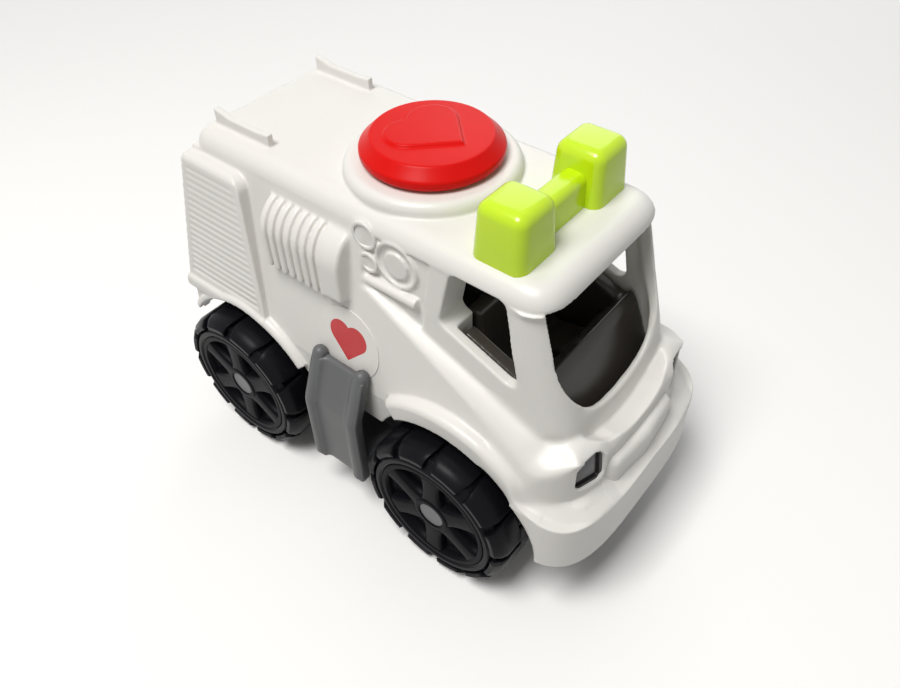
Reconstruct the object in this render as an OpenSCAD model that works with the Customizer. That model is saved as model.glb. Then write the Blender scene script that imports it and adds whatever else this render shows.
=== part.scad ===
// Toy ambulance: hollow body shell on a chassis with four free-spinning wheels and a turning roof cap.
// X runs forward, Y to the left, Z up. The origin is under the middle of the vehicle, on the ground.

/* [Wheels] */
// Distance between the two axles
wheelbase = 79.5; // [76:0.5:86]
// Front axle to the face of the bumper
front_overhang = 42.8; // [42:0.1:47]
// Rear axle to the tail
rear_overhang = 27.7; // [27.2:0.1:32]
// Outer radius of a tyre over its tread
tyre_r = 24.6; // [23:0.1:25.6]
// Width of a tyre
tyre_w = 17; // [15:0.5:18]
// Width over the outer faces of the tyres
track_w = 86.8; // [86:0.2:94]
// Bevel at the shoulder of a tyre
tyre_bevel = 2.2; // [1:0.1:3]
// Radius of the seat for the hub in a tyre
rim_r = 18.3; // [17:0.1:19]
// Number of tread blocks round each half of a tyre
tread_count = 12; // [8:1:16]
// Width of a groove between two tread blocks
tread_gap = 2.4; // [1.5:0.1:3.5]
// Depth of a tread groove
tread_depth = 1.7; // [1:0.1:2.4]
// Number of spokes in a hub
spoke_count = 6; // [4:1:8]
// Width of a spoke
spoke_w = 4.2; // [3:0.1:5]
// Radius of the hub boss round the axle
boss_r = 6.8; // [6.2:0.1:8]
// Thickness of the rim of a hub
hub_rim_t = 2; // [1.4:0.1:2.6]
// Radius of an axle
axle_r = 4; // [3.4:0.1:4.4]

/* [Body] */
// Width of the body at its waist
waist_w = 68; // [65:0.5:70]
// Height at which the flanks start to lean in
waist_z = 49; // [46:0.5:52]
// Width of the body at the roof
roof_w = 51; // [50:0.5:54]
// Height of the roof
roof_z = 104; // [101:0.5:108]
// Wall thickness of the body shell
wall = 2.2; // [1.8:0.1:2.6]
// Height of the lower edge of the flanks
sill_z = 38; // [36:0.5:40]
// Lean of the tail in degrees
tail_lean = 9.2; // [6:0.2:11]
// Length of the rear bay from the tail to its front step
bay_l = 75; // [73:0.5:78]
// Radius of the rounded shoulder
shoulder_r = 11; // [9:0.5:12]
// Height of the shoulder at the front of the rear bay
shoulder_z = 84.5; // [82:0.5:87]
// Fall of the shoulder towards the nose in degrees
shoulder_fall = 22; // [19:0.5:24]
// Height of the level top of the nose
nose_z = 61.5; // [60.5:0.5:63]
// Rounding between the top and the face of the nose
nose_round = 8; // [6:0.5:9]
// Corner radius of the nose seen from above
nose_corner = 16; // [13:0.5:17]
// Radius of the bowed face of the nose
nose_bow = 150; // [120:5:200]
// Depth of the bumper in front of the nose
bumper_d = 4; // [3:0.1:5]
// Width of the bumper
bumper_w = 73.6; // [72:0.2:76]
// Height of the lower edge of the bumper
bumper_low_z = 24; // [22:0.5:25]
// Height of the ledge on the bumper
bumper_top_z = 43.3; // [42:0.1:45]
// Corner radius of the bumper seen from above
bumper_corner = 17; // [14:0.5:18]
// Gap between a tyre and its wheel arch
arch_gap = 3.6; // [3:0.1:4.5]
// Width of the flare round a front wheel arch
flare_w = 6.3; // [5:0.1:7]
// Width of the lip round a rear wheel arch
lip_w = 2.6; // [2:0.1:3.2]
// Height by which the flares stand out of the flanks
flare_out = 2.4; // [1.5:0.1:3]

/* [Cab] */
// Width of the cab at the sill
cab_w = 55; // [54:0.2:57]
// Width of the cab under the roof
cab_top_w = 50.4; // [49.6:0.1:50.8]
// Bumper face to the front edge of the roof
roof_setback = 20.5; // [19:0.5:22]
// Overhang of the roof in front of the windscreen
brow = 1.6; // [1:0.1:2.4]
// Height of the rounded roof edge
roof_edge = 5.4; // [4.6:0.1:6]
// Lean of the windscreen in degrees
screen_lean = 15; // [12:0.5:17]
// Radius of the round lower end of the windscreen opening
screen_r = 22.8; // [21:0.2:23]
// Height of the centre of that round end
screen_z = 83; // [82:0.5:84]
// Width of the scooped band round the windscreen opening
scoop_w = 7.2; // [6:0.2:8]
// Corner radius of the cab pillars seen from above
pillar_r = 8; // [6:0.5:9]
// Roof front edge to the rear lower corner of a side window
window_back = 30.5; // [29:0.5:31]
// Length of the lower edge of a side window
window_l = 24.2; // [22:0.2:25]
// Roof to the upper edge of a side window
window_head = 5; // [4.6:0.1:6]
// Height of a side window at its rear edge
window_rear_h = 17; // [15:0.5:18]
// Height of a side window at its front edge
window_front_h = 26.6; // [25:0.2:27]
// Slant of the rear edge of a side window
window_rear_slant = 3.4; // [2:0.2:5]
// Slant of the front edge of a side window
window_front_slant = 5; // [4:0.2:6]
// Corner radius of a side window
window_r = 2.4; // [1:0.1:3]
// Depth of the jamb behind a side window
jamb_d = 8; // [6:0.5:9]
// Width of the raised surround behind a side window
surround_w = 6; // [5:0.2:7]
// Height of that surround
surround_h = 0.8; // [0.5:0.05:0.9]

/* [Flank detail] */
// Height of the upper edge of a shutter
shutter_top_z = 97.5; // [95:0.5:98.5]
// Height of the lower edge of a shutter
shutter_low_z = 54; // [53:0.5:58]
// Width over both shutters at their upper edge
shutter_top_w = 61.6; // [60:0.2:63]
// Width over both shutters at their lower edge
shutter_low_w = 70.4; // [69.4:0.2:71]
// Length of a shutter along its lower edge
shutter_l = 38; // [36:0.5:39]
// Slant of the front edge of a shutter
shutter_slant = 5; // [3:0.5:6]
// Number of slats in a shutter
slat_count = 18; // [12:1:22]
// Depth of a slat
slat_d = 0.5; // [0.3:0.05:0.7]
// Border round the slats
shutter_border = 2; // [1.4:0.1:3]
// Height of the ledge under a shutter
ledge_h = 5.6; // [4:0.2:6]
// Width over the ledges of both shutters
ledge_w = 73; // [72:0.2:74]
// Radius of the rounded top of the ribbed bulge
bulge_r = 10.4; // [9.5:0.1:11]
// Length of the ribbed bulge
bulge_l = 28.5; // [27:0.5:30]
// Front step of the rear bay to the front of the bulge
bulge_back = 3.6; // [3:0.2:4.4]
// Height of the lower end of the bulge
bulge_low_z = 76.4; // [75:0.2:78]
// Width over both bulges
bulge_w = 66.4; // [65:0.2:67]
// Number of ribs along the bulge
rib_count = 7; // [5:1:8]
// Depth of the grooves between the ribs
rib_d = 1.2; // [0.8:0.1:1.5]
// Length of the plain front end of the bulge
bulge_end_l = 7.6; // [6:0.2:8]
// Radius of the large gauge
gauge_r = 6.8; // [6:0.1:7]
// Radius of a small gauge
small_gauge_r = 3.9; // [3.2:0.1:4.2]
// Height of the gauges
gauge_h = 1; // [0.7:0.1:1.4]
// Radius of the rail under the gauges
rail_r = 1.5; // [1.2:0.1:1.8]
// Radius of a flank sticker
sticker_r = 11.2; // [9:0.2:12]
// Thickness of a sticker
sticker_t = 0.3; // [0.2:0.05:0.5]

/* [Roof fittings] */
// Distance of the turning cap in front of the middle
cap_x = 1.2; // [0:0.2:2]
// Outer radius of the roof collar
collar_r = 23; // [22:0.2:24]
// Height of the roof collar
collar_h = 3.6; // [3:0.1:4.4]
// Outer radius of the cap
cap_r = 18.6; // [17:0.1:19.5]
// Radius of the flat top of the cap
cap_top_r = 15.6; // [13:0.1:16]
// Height of the cap
cap_h = 5.8; // [5:0.1:6.4]
// Radius of the stem under the cap
stem_r = 6; // [5:0.1:7]
// Height of the raised heart on the cap
heart_h = 0.8; // [0.5:0.1:1.2]
// Roof front edge to the front of the light bar
bar_back = 9.4; // [8.5:0.1:10.5]
// Length of a light block along the vehicle
block_l = 15.1; // [14:0.1:16]
// Width of a light block
block_w = 15.3; // [14:0.1:16]
// Height of a light block
block_h = 14.3; // [13:0.1:15]
// Inward slope of the sides of a light block
block_taper = 1.7; // [1:0.1:2.2]
// Rounding of a light block
block_round = 2.6; // [2:0.1:3]
// Width over both light blocks
bar_w = 45.8; // [45:0.1:47]
// Height of the saddle between the blocks
saddle_h = 8.6; // [7:0.1:10]
// Length of the saddle along the vehicle
saddle_l = 8.4; // [7:0.1:9.4]
// Tail to the rear end of a roof fin
fin_back = 15; // [14.5:0.1:16]
// Length of a roof fin
fin_l = 21.6; // [19:0.2:22]
// Height of the ends of a roof fin
fin_h = 4.6; // [3.5:0.1:5.5]
// Thickness of a roof fin
fin_t = 2; // [1.6:0.1:2.4]
// Distance between the two roof fins
fin_gap = 38.4; // [36:0.2:40]

/* [Chassis] */
// Height of the underside of the chassis
pan_z = 12.6; // [11.5:0.1:14]
// Thickness of the floor and the rails of the chassis
pan_t = 2.4; // [2:0.1:3]
// Height of the upper edge of the rails
rail_z = 42; // [40:0.5:43]
// Centre of the side steps behind the front axle
step_back = 37.4; // [36.6:0.1:38.4]
// Length of a side step
step_l = 20.4; // [18:0.2:21]
// Outer face of a tyre to the plate of a side step
step_inset = 2.2; // [1.9:0.1:2.9]
// Height of the lower edge of a side step
step_low_z = 15; // [14:0.5:17]
// Height at which a side step bends inwards
step_bend_z = 41; // [39:0.5:43]
// Height of the upper edge of a side step
step_top_z = 55; // [53:0.5:56]
// Width of the raised ridges of a side step
ridge_w = 4.4; // [3.5:0.1:5]
// Height of those ridges
ridge_h = 1.6; // [1:0.1:1.8]
// Width of a headlamp
lamp_w = 10.2; // [9:0.2:11]
// Height of a headlamp
lamp_h = 9; // [8:0.1:9.2]
// Distance between the centres of the headlamps
lamp_gap = 45.2; // [44:0.2:46]
// Height of the lower edge of a headlamp
lamp_z = 50.2; // [49.8:0.1:50.6]
// Radius of the shank of a chassis screw
screw_r = 1.5; // [1.2:0.1:1.8]
// Radius of the head of a chassis screw
screw_head_r = 3; // [2.6:0.1:3.4]

/* [Fits] */
// Clearance round a turning stem or axle
run_gap = 0.08; // [0.05:0.01:0.1]
// Clearance between pieces that are fixed to each other
fit_gap = 0.1; // [0.05:0.01:0.2]
// Clearance under the turning cap
cap_gap = 0.35; // [0.3:0.05:0.5]

/* [Hidden] */
$fn = 64;

// Overrun of every cut
over = 1;
// Length past every face of the vehicle
total_l = wheelbase + front_overhang + rear_overhang;
reach = 2 * total_l;
nose_end_x = total_l / 2;
tail_x = -nose_end_x;
front_axle_x = nose_end_x - front_overhang;
rear_axle_x = front_axle_x - wheelbase;
axle_z = tyre_r;
wheel_in_y = track_w / 2 - tyre_w;
arch_r = tyre_r + arch_gap;
nose_x = nose_end_x - bumper_d;
bay_x = tail_x + bay_l;
flank_lean = atan2((waist_w - roof_w) / 2, roof_z - waist_z);
roof_front_x = nose_end_x - roof_setback;
roof_under_z = roof_z - roof_edge;
screen_x = roof_front_x - brow;
window_x = roof_front_x - window_back;
window_top_z = roof_z - window_head;
collar_z = roof_z + collar_h;
cap_z = collar_z + cap_gap;
bar_x = roof_front_x - bar_back - block_l / 2;
block_y = (bar_w - block_w) / 2;
step_x = front_axle_x - step_back;
step_w = track_w - 2 * step_inset;
// Angles over which the flares run, counted up from the front
flare_turns = [34, 128];
lip_turns = [36, 148];
screen_setback = total_l / 2;
rail_gap = 1.2;
rail_y = wheel_in_y - rail_gap;
// Posts of the shell that take the chassis screws
post_r = 4.4;
front_post_x = nose_x - post_r - wall / 2;
front_post_y = 10;
front_post_z = 30;
rear_post_x = tail_x + wall + post_r + over;
rear_post_y = 12;
rear_post_z = 40;
post_h = 24;
screw_l = 9;
screw_head_h = 1.8;
peg_r = 2.4;
peg_bead = 0.3;
bead_h = 1.2;
bead_out = 0.6;
bead_inset = 3.4;
axle_inset = 0.8;

function flank_y(z) = waist_w / 2 - (z - waist_z) * tan(flank_lean);
function cab_y(z) = (cab_w - (cab_w - cab_top_w) * (z - sill_z) / (roof_z - sill_z)) / 2;

// A profile in Y and Z, drawn out along X
module along_x(length) {
    rotate([90, 0, 90])
        linear_extrude(length, center = true)
            children();
}

// A profile in X and Z, drawn out along Y
module along_y(length) {
    rotate([90, 0, 0])
        linear_extrude(length, center = true)
            children();
}

module both_sides() {
    for (side = [0, 1])
        mirror([0, side, 0])
            children();
}

// Rectangle from x0 to x1 with round corners
module round_box(x0, x1, width, r) {
    translate([x0, r - width / 2])
        square([x1 - x0, width - 2 * r]);
    translate([x0 + r, -width / 2])
        square([x1 - x0 - 2 * r, width]);
    for (x = [x0 + r, x1 - r], y = [r - width / 2, width / 2 - r])
        translate([x, y])
            circle(r);
}

// Flanks that lean in from the waist to the roof, set in by g
module flank_profile(g) {
    low = waist_w / 2 - g;
    high = roof_w / 2 - g;
    polygon([
        [-low, 0], [low, 0], [low, waist_z],
        [high, roof_z - g], [-high, roof_z - g], [-low, waist_z]
    ]);
}

module cab_profile(g) {
    low = cab_w / 2 - g;
    high = cab_top_w / 2 - g;
    polygon([[-low, sill_z], [low, sill_z], [high, roof_z - g], [-high, roof_z - g]]);
}

// Everything in front of the leaning tail
module tail_side(g) {
    translate([tail_x + g, -total_l, sill_z])
        rotate([0, tail_lean, 0])
            translate([0, 0, -total_l])
                cube([reach, reach, reach]);
}

// Cross-section with rounded shoulders whose top lies at height zero
module shoulder_profile(g) {
    half = waist_w / 2 - g;
    r = shoulder_r - g;
    translate([-half, -total_l])
        square([2 * half, total_l - g - r]);
    translate([r - half, -total_l])
        square([2 * (half - r), total_l - g]);
    for (side = [-1, 1])
        translate([side * (half - r), -g - r])
            circle(r);
}

// Side view of the nose with its rounded upper edge
module nose_view(g) {
    r = nose_round - g;
    translate([-total_l, 0])
        square([total_l + nose_x - g, nose_z - g - r]);
    translate([-total_l, 0])
        square([total_l + nose_x - g - r, roof_under_z - g]);
    translate([nose_x - g - r, nose_z - g - r])
        circle(r);
}

module nose_plan(g) {
    intersection() {
        round_box(-total_l, nose_x - g, waist_w, nose_corner);
        translate([nose_x - g - nose_bow, 0])
            circle(nose_bow, $fn = 180);
    }
}

// Frame of the windscreen: X points out of the screen, the origin lies at the centre of its round end
module on_screen() {
    translate([screen_x + (roof_under_z - screen_z) * tan(screen_lean), 0, screen_z])
        rotate([0, -screen_lean, 0])
            children();
}

// Round below and straight above, drawn out along the normal of the windscreen
module screen_prism(r, back, front) {
    translate([-back, 0, 0])
        rotate([0, 90, 0])
            cylinder(h = back + front, r = r);
    translate([-back, -r, 0])
        cube([back + front, 2 * r, roof_z]);
}

// Lower body with the falling shoulder, the level nose and the scoop under the windscreen
module lower_body(g) {
    difference() {
        intersection() {
            union() {
                translate([bay_x, 0, shoulder_z])
                    rotate([0, shoulder_fall, 0])
                        along_x(2 * reach)
                            shoulder_profile(g);
                translate([0, 0, nose_z])
                    along_x(reach)
                        shoulder_profile(g);
            }
            along_x(reach)
                flank_profile(g);
            translate([0, 0, sill_z - (g > 0 ? over : 0)])
                linear_extrude(roof_z)
                    nose_plan(g);
            along_y(reach)
                nose_view(g);
            tail_side(g);
        }
        on_screen()
            screen_prism(screen_r + scoop_w + g, g, total_l);
    }
}

// Wide upper part of the rear bay
module bay(g) {
    intersection() {
        along_x(reach)
            flank_profile(g);
        tail_side(g);
        translate([-reach, -total_l, sill_z])
            cube([reach + bay_x - g, reach, (g > 0 ? total_l : roof_under_z - sill_z)]);
    }
}

module cab(g) {
    intersection() {
        along_x(reach)
            cab_profile(g);
        translate([-total_l, -total_l, 0])
            cube([reach, reach, g > 0 ? total_l : roof_under_z]);
        on_screen()
            translate([0, 0, -total_l])
                linear_extrude(reach)
                    round_box(-screen_setback, -g, 2 * cab_y(screen_z) - 2 * g, pillar_r - g);
    }
}

// Roof plate whose rolled edge overhangs the windscreen
module roof_plate() {
    r = roof_edge;
    front_r = 2 * roof_edge + brow;
    half = flank_y(roof_under_z);
    rear_x = tail_x + (roof_under_z - sill_z) * tan(tail_lean);
    disc_x = roof_front_x - front_r;
    intersection() {
        union() {
            translate([rear_x + r, r - half, roof_under_z])
                cube([disc_x - rear_x - r, 2 * (half - r), r]);
            translate([disc_x, front_r - half, roof_under_z])
                cube([front_r - r, 2 * (half - front_r), r]);
            for (side = [-1, 1]) {
                translate([disc_x, side * (half - front_r), roof_under_z])
                    rotate_extrude() {
                        square([front_r - r, r]);
                        translate([front_r - r, 0])
                            circle(r);
                    }
                translate([rear_x + r, side * (half - r), roof_under_z]) {
                    sphere(r);
                    rotate([0, 90, 0])
                        cylinder(h = disc_x - rear_x - r, r = r);
                }
            }
            translate([roof_front_x - r, 0, roof_under_z])
                rotate([90, 0, 0])
                    cylinder(h = 2 * (half - front_r), r = r, center = true);
            translate([rear_x + r, 0, roof_under_z])
                rotate([90, 0, 0])
                    cylinder(h = 2 * (half - r), r = r, center = true);
        }
        translate([-total_l, -total_l, roof_under_z])
            cube([reach, reach, total_l]);
    }
}

// Raised surround of a side window, just inside the roof edge
module window_surround() {
    rear_x = window_x - surround_w;
    low_z = window_top_z - window_front_h;
    intersection() {
        along_x(reach)
            cab_profile(-surround_h);
        along_y(reach)
            polygon([
                [rear_x, nose_z], [total_l, nose_z], [total_l, roof_under_z],
                [rear_x + window_rear_slant, roof_under_z], [rear_x, low_z]
            ]);
        on_screen()
            translate([0, 0, -total_l])
                linear_extrude(reach)
                    round_box(-screen_setback, 0, 2 * cab_y(screen_z) + 2 * surround_h, pillar_r);
    }
}

module bumper(g) {
    translate([0, 0, bumper_low_z - (g > 0 ? over : 0)])
        linear_extrude(bumper_top_z - bumper_low_z - g + (g > 0 ? over : 0))
            intersection() {
                round_box(0, nose_end_x - g, bumper_w - 2 * g, bumper_corner - g);
                translate([nose_end_x - g - nose_bow, 0])
                    circle(nose_bow, $fn = 180);
                translate([front_axle_x, -total_l])
                    square([total_l, reach]);
            }
}

// Rounded band along part of a wheel arch
module arch_band(x, width, turns) {
    round_share = 0.8;
    r = flare_out * round_share;
    out_y = waist_w / 2 + flare_out;
    depth = 2 * wall + flare_out;
    translate([x, 0, axle_z])
        rotate([90, 0, 0])
            rotate([0, 0, turns[0]])
                rotate_extrude(angle = turns[1] - turns[0]) {
                    translate([arch_r - over, out_y - depth])
                        square([width + over, depth - r]);
                    translate([arch_r - over, out_y - depth])
                        square([width + over - r, depth]);
                    translate([arch_r + width - r, out_y - r])
                        circle(r);
                }
}

module wheel_hole(x) {
    translate([x, 0, axle_z])
        rotate([90, 0, 0])
            cylinder(h = reach, r = arch_r, center = true);
}

// Slanted block on the rear flank that carries the slats
module shutter() {
    low = shutter_low_w / 2;
    high = shutter_top_w / 2;
    inner = roof_w / 2 - wall;
    r = wall;
    front_x = tail_x + shutter_l;
    lean = atan2(low - high, shutter_top_z - shutter_low_z);
    field_h = (shutter_top_z - shutter_low_z) / cos(lean) - 2 * shutter_border;
    pitch = field_h / slat_count;
    difference() {
        intersection() {
            along_x(reach) {
                polygon([
                    [inner, shutter_low_z], [low, shutter_low_z], [high, shutter_top_z - r],
                    [high - r, shutter_top_z], [inner, shutter_top_z]
                ]);
                translate([high - r, shutter_top_z - r])
                    circle(r);
            }
            shutter_outline(front_x, 0);
            tail_side(0);
        }
        intersection() {
            translate([0, low, shutter_low_z])
                rotate([lean, 0, 0])
                    along_x(reach)
                        polygon(concat(
                            [[wall, shutter_border + field_h], [wall, shutter_border]],
                            [for (i = [0 : slat_count - 1], k = [0, 1])
                                [-slat_d * (1 - k), shutter_border + (i + k) * pitch]]
                        ));
            shutter_outline(front_x, shutter_border);
            tail_side(shutter_border);
        }
    }
}

// Ledge that runs under the shutter to the tail
module ledge() {
    r = ledge_h / 3;
    half = ledge_w / 2;
    low = shutter_low_z - ledge_h;
    intersection() {
        along_x(reach) {
            translate([roof_w / 2, low])
                square([half - r - roof_w / 2, ledge_h]);
            translate([roof_w / 2, low + r])
                square([half - roof_w / 2, ledge_h - 2 * r]);
            for (z = [low + r, shutter_low_z - r])
                translate([half - r, z])
                    circle(r);
        }
        translate([-reach, 0, 0])
            cube([reach + tail_x + shutter_l, total_l, total_l]);
        tail_side(0);
    }
}

// Side view of the shutter with a rounded upper corner, set in by g
module shutter_outline(front_x, g) {
    r = 2 * wall;
    along_y(reach)
        offset(r = r)
            offset(delta = -r)
                polygon([
                    [-total_l, 0], [front_x - g, 0], [front_x - g, shutter_low_z],
                    [front_x - g - shutter_slant, shutter_top_z - g], [-total_l, shutter_top_z - g]
                ]);
}

// Upright rib in Y and Z with a round top, set in by g
module rib_profile(g) {
    r = bulge_r - g;
    half = bulge_w / 2;
    top_z = bulge_low_z + bulge_r;
    translate([half - bulge_r, top_z])
        circle(r);
    translate([half - 2 * bulge_r, bulge_low_z + g])
        square([2 * bulge_r - g, bulge_r - g]);
}

// Row of ribs along the upper part of the rear bay
module bulge() {
    front_x = bay_x - bulge_back;
    rear_x = front_x - bulge_l;
    pitch = (bulge_l - bulge_end_l) / rib_count;
    land_share = 0.66;
    translate([front_x - bulge_l / 2, 0, 0])
        along_x(bulge_l - rib_d)
            rib_profile(rib_d);
    for (i = [0 : rib_count - 1])
        translate([rear_x + (i + land_share / 2) * pitch, 0, 0])
            along_x(pitch * land_share)
                rib_profile(0);
    translate([front_x - bulge_end_l / 2, 0, 0])
        along_x(bulge_end_l)
            rib_profile(0);
}

// A raised round gauge on the cab wall
module gauge(x, z, r, ringed) {
    y = cab_y(z);
    translate([x, y + gauge_h, z])
        rotate([90, 0, 0])
            difference() {
                cylinder(h = gauge_h + wall / 2, r = r);
                if (ringed)
                    translate([0, 0, -over])
                        difference() {
                            cylinder(h = over + gauge_h, r = r - gauge_h);
                            cylinder(h = 2 * over + gauge_h, r = r - 3 * gauge_h);
                        }
            }
}

module gauges() {
    rail_top = roof_under_z - 2 * gauge_r - rail_r / 2;
    big_x = bay_x + small_gauge_r + gauge_r;
    gauge(big_x, roof_under_z - gauge_r + gauge_h, gauge_r, true);
    gauge(bay_x + gauge_h, roof_under_z - small_gauge_r + 3 * gauge_h, small_gauge_r, false);
    gauge(bay_x + 2 * gauge_h, roof_under_z - 3 * small_gauge_r + 3 * gauge_h, small_gauge_r - gauge_h, false);
    translate([bay_x - bulge_back, cab_y(rail_top) + rail_r / 2, rail_top])
        rotate([0, 90, 0])
            cylinder(h = big_x + gauge_r - bay_x + bulge_back, r = rail_r);
}

// Upright fin along the roof with a low middle between its raised ends
module roof_fin() {
    dip_shares = [0.3, 0.74];
    height_shares = [0.68, 0.8];
    rear_x = tail_x + fin_back;
    translate([0, fin_gap / 2, 0])
        along_y(fin_t)
            polygon([
                [rear_x, roof_z - wall], [rear_x, roof_z + fin_h],
                [rear_x + fin_l * dip_shares[0], roof_z + fin_h * height_shares[0]],
                [rear_x + fin_l * dip_shares[1], roof_z + fin_h * height_shares[0]],
                [rear_x + fin_l, roof_z + fin_h * height_shares[1]], [rear_x + fin_l, roof_z - wall]
            ]);
}

// Rounded bar on the middle of the nose, just above the bumper
module nose_bar() {
    round_share = 0.75;
    half_share = 0.23;
    r = bumper_d * round_share;
    rise = 2 * r;
    hull()
        for (y = [-1, 1] * waist_w * half_share, z = [0, rise])
            translate([nose_x + r / 4, y, bumper_top_z + z])
                sphere(r, $fn = 24);
}

module collar() {
    round_share = 0.7;
    r = collar_h * round_share;
    translate([cap_x, 0, 0])
        rotate_extrude() {
            translate([0, roof_z - wall / 2])
                square([collar_r - r, collar_h + wall / 2]);
            translate([0, roof_z - wall / 2])
                square([collar_r, collar_h - r + wall / 2]);
            translate([collar_r - r, collar_z - r])
                circle(r);
        }
}

// Two raised door leaves on the tail
module tail_doors() {
    leaf_h_shares = [0.34, 0.84];
    leaf_w_share = 0.4;
    leaf_round = 1.5 * wall;
    low = sill_z + (roof_z - sill_z) * leaf_h_shares[0];
    high = sill_z + (roof_z - sill_z) * leaf_h_shares[1];
    translate([tail_x, 0, sill_z])
        rotate([0, tail_lean, 0])
            translate([-sticker_t, 0, 0])
                rotate([0, 90, 0])
                    linear_extrude(wall)
                        for (side = [-1, 1])
                            translate([0, side * (roof_w * leaf_w_share + wall) / 2])
                                round_box(sill_z - high, sill_z - low, roof_w * leaf_w_share, leaf_round);
}

module screw_posts() {
    for (side = [-1, 1]) {
        translate([front_post_x, side * front_post_y, front_post_z])
            cylinder(h = post_h, r = post_r);
        translate([rear_post_x, side * rear_post_y, rear_post_z])
            cylinder(h = post_h, r = post_r);
    }
}

module screw_holes(r) {
    for (side = [-1, 1]) {
        translate([front_post_x, side * front_post_y, front_post_z - pan_t - over])
            cylinder(h = screw_l + over, r = r);
        translate([rear_post_x, side * rear_post_y, rear_post_z - pan_t - over])
            cylinder(h = screw_l + over, r = r);
    }
}

module side_window() {
    x1 = window_x + window_l;
    along_y(reach)
        offset(r = window_r)
            offset(delta = -window_r)
                polygon([
                    [window_x, window_top_z - window_rear_h],
                    [x1, window_top_z - window_front_h],
                    [x1 - window_front_slant, window_top_z],
                    [window_x + window_rear_slant, window_top_z]
                ]);
}

module lamp_opening() {
    translate([nose_x - 2 * bumper_d, lamp_gap / 2, lamp_z + lamp_h / 2])
        rotate([0, 90, 0])
            linear_extrude(reach)
                round_box(-lamp_h / 2, lamp_h / 2, lamp_w, window_r);
}

module bar_pegs(r, height, top) {
    for (side = [-1, 1])
        translate([bar_x, side * block_y, top - height])
            cylinder(h = height, r = r);
}

module body_shell() {
    color([0.93, 0.93, 0.91])
        difference() {
            union() {
                difference() {
                    union() {
                        lower_body(0);
                        bay(0);
                        cab(0);
                        roof_plate();
                        window_surround();
                        bumper(0);
                        nose_bar();
                        tail_doors();
                        both_sides() {
                            shutter();
                            bulge();
                            gauges();
                            roof_fin();
                            ledge();
                            arch_band(front_axle_x, flare_w, flare_turns);
                            arch_band(rear_axle_x, lip_w, lip_turns);
                        }
                    }
                    lower_body(wall);
                    bay(wall);
                    cab(wall);
                    bumper(wall);
                }
                collar();
                jambs();
                intersection() {
                    screw_posts();
                    union() {
                        lower_body(0);
                        bumper(0);
                    }
                }
            }
            wheel_hole(front_axle_x);
            wheel_hole(rear_axle_x);
            side_window();
            intersection() {
                on_screen()
                    screen_prism(screen_r, 3 * pillar_r, total_l);
                cube([reach, reach, 2 * roof_under_z], center = true);
            }
            both_sides()
                lamp_opening();
            translate([cap_x, 0, roof_z - roof_edge])
                cylinder(h = collar_h + roof_edge + over, r = stem_r + run_gap);
            bar_pegs(peg_r + fit_gap, roof_edge, roof_z + over);
            screw_holes(screw_r + fit_gap);
        }
}

// Ribs of the shell that line the rear edge of each side window
module jambs() {
    both_sides()
        intersection() {
            translate([window_x - wall, cab_y(roof_z) - jamb_d, nose_z])
                cube([wall + window_rear_slant, jamb_d + wall, roof_z - nose_z - wall / 2]);
            cab(wall / 2);
        }
}

// Side step in Y and Z: upright below, bent in above
module step_profile(lift) {
    outer = step_w / 2 + lift;
    top_in = flank_y(step_top_z) + sticker_t + 2 * fit_gap;
    polygon([
        [step_w / 2 - pan_t, step_low_z], [outer, step_low_z], [outer, step_bend_z],
        [top_in + pan_t + lift, step_top_z], [top_in, step_top_z], [step_w / 2 - pan_t, step_bend_z]
    ]);
}

module side_step() {
    translate([step_x, 0, 0]) {
        along_x(step_l - ridge_w)
            step_profile(0);
        for (end = [-1, 1])
            translate([end * (step_l - ridge_w) / 2, 0, 0])
                along_x(ridge_w)
                    step_profile(ridge_h);
        translate([-step_l / 2, rail_y - pan_t / 2, axle_z - pan_t])
            cube([step_l, step_w / 2 - rail_y, pan_t]);
    }
}

// Upright post on the chassis whose face shows in a headlamp opening
module lamp_post() {
    face_x = nose_x - (nose_bow - sqrt(nose_bow * nose_bow - lamp_gap * lamp_gap / 4)) - wall;
    inner_x = face_x - 2 * fit_gap - pan_t;
    translate([inner_x - pan_t, lamp_gap / 2 - lamp_w / 2, front_post_z - pan_t])
        cube([2 * pan_t, lamp_w - 2 * pan_t, lamp_z + lamp_h / 2 - front_post_z + pan_t]);
    translate([inner_x, lamp_gap / 2, lamp_z + lamp_h / 2])
        rotate([0, 90, 0])
            linear_extrude(pan_t + wall / 2)
                round_box(2 * fit_gap - lamp_h / 2, lamp_h / 2 - 2 * fit_gap, lamp_w - 4 * fit_gap, window_r);
}

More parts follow.
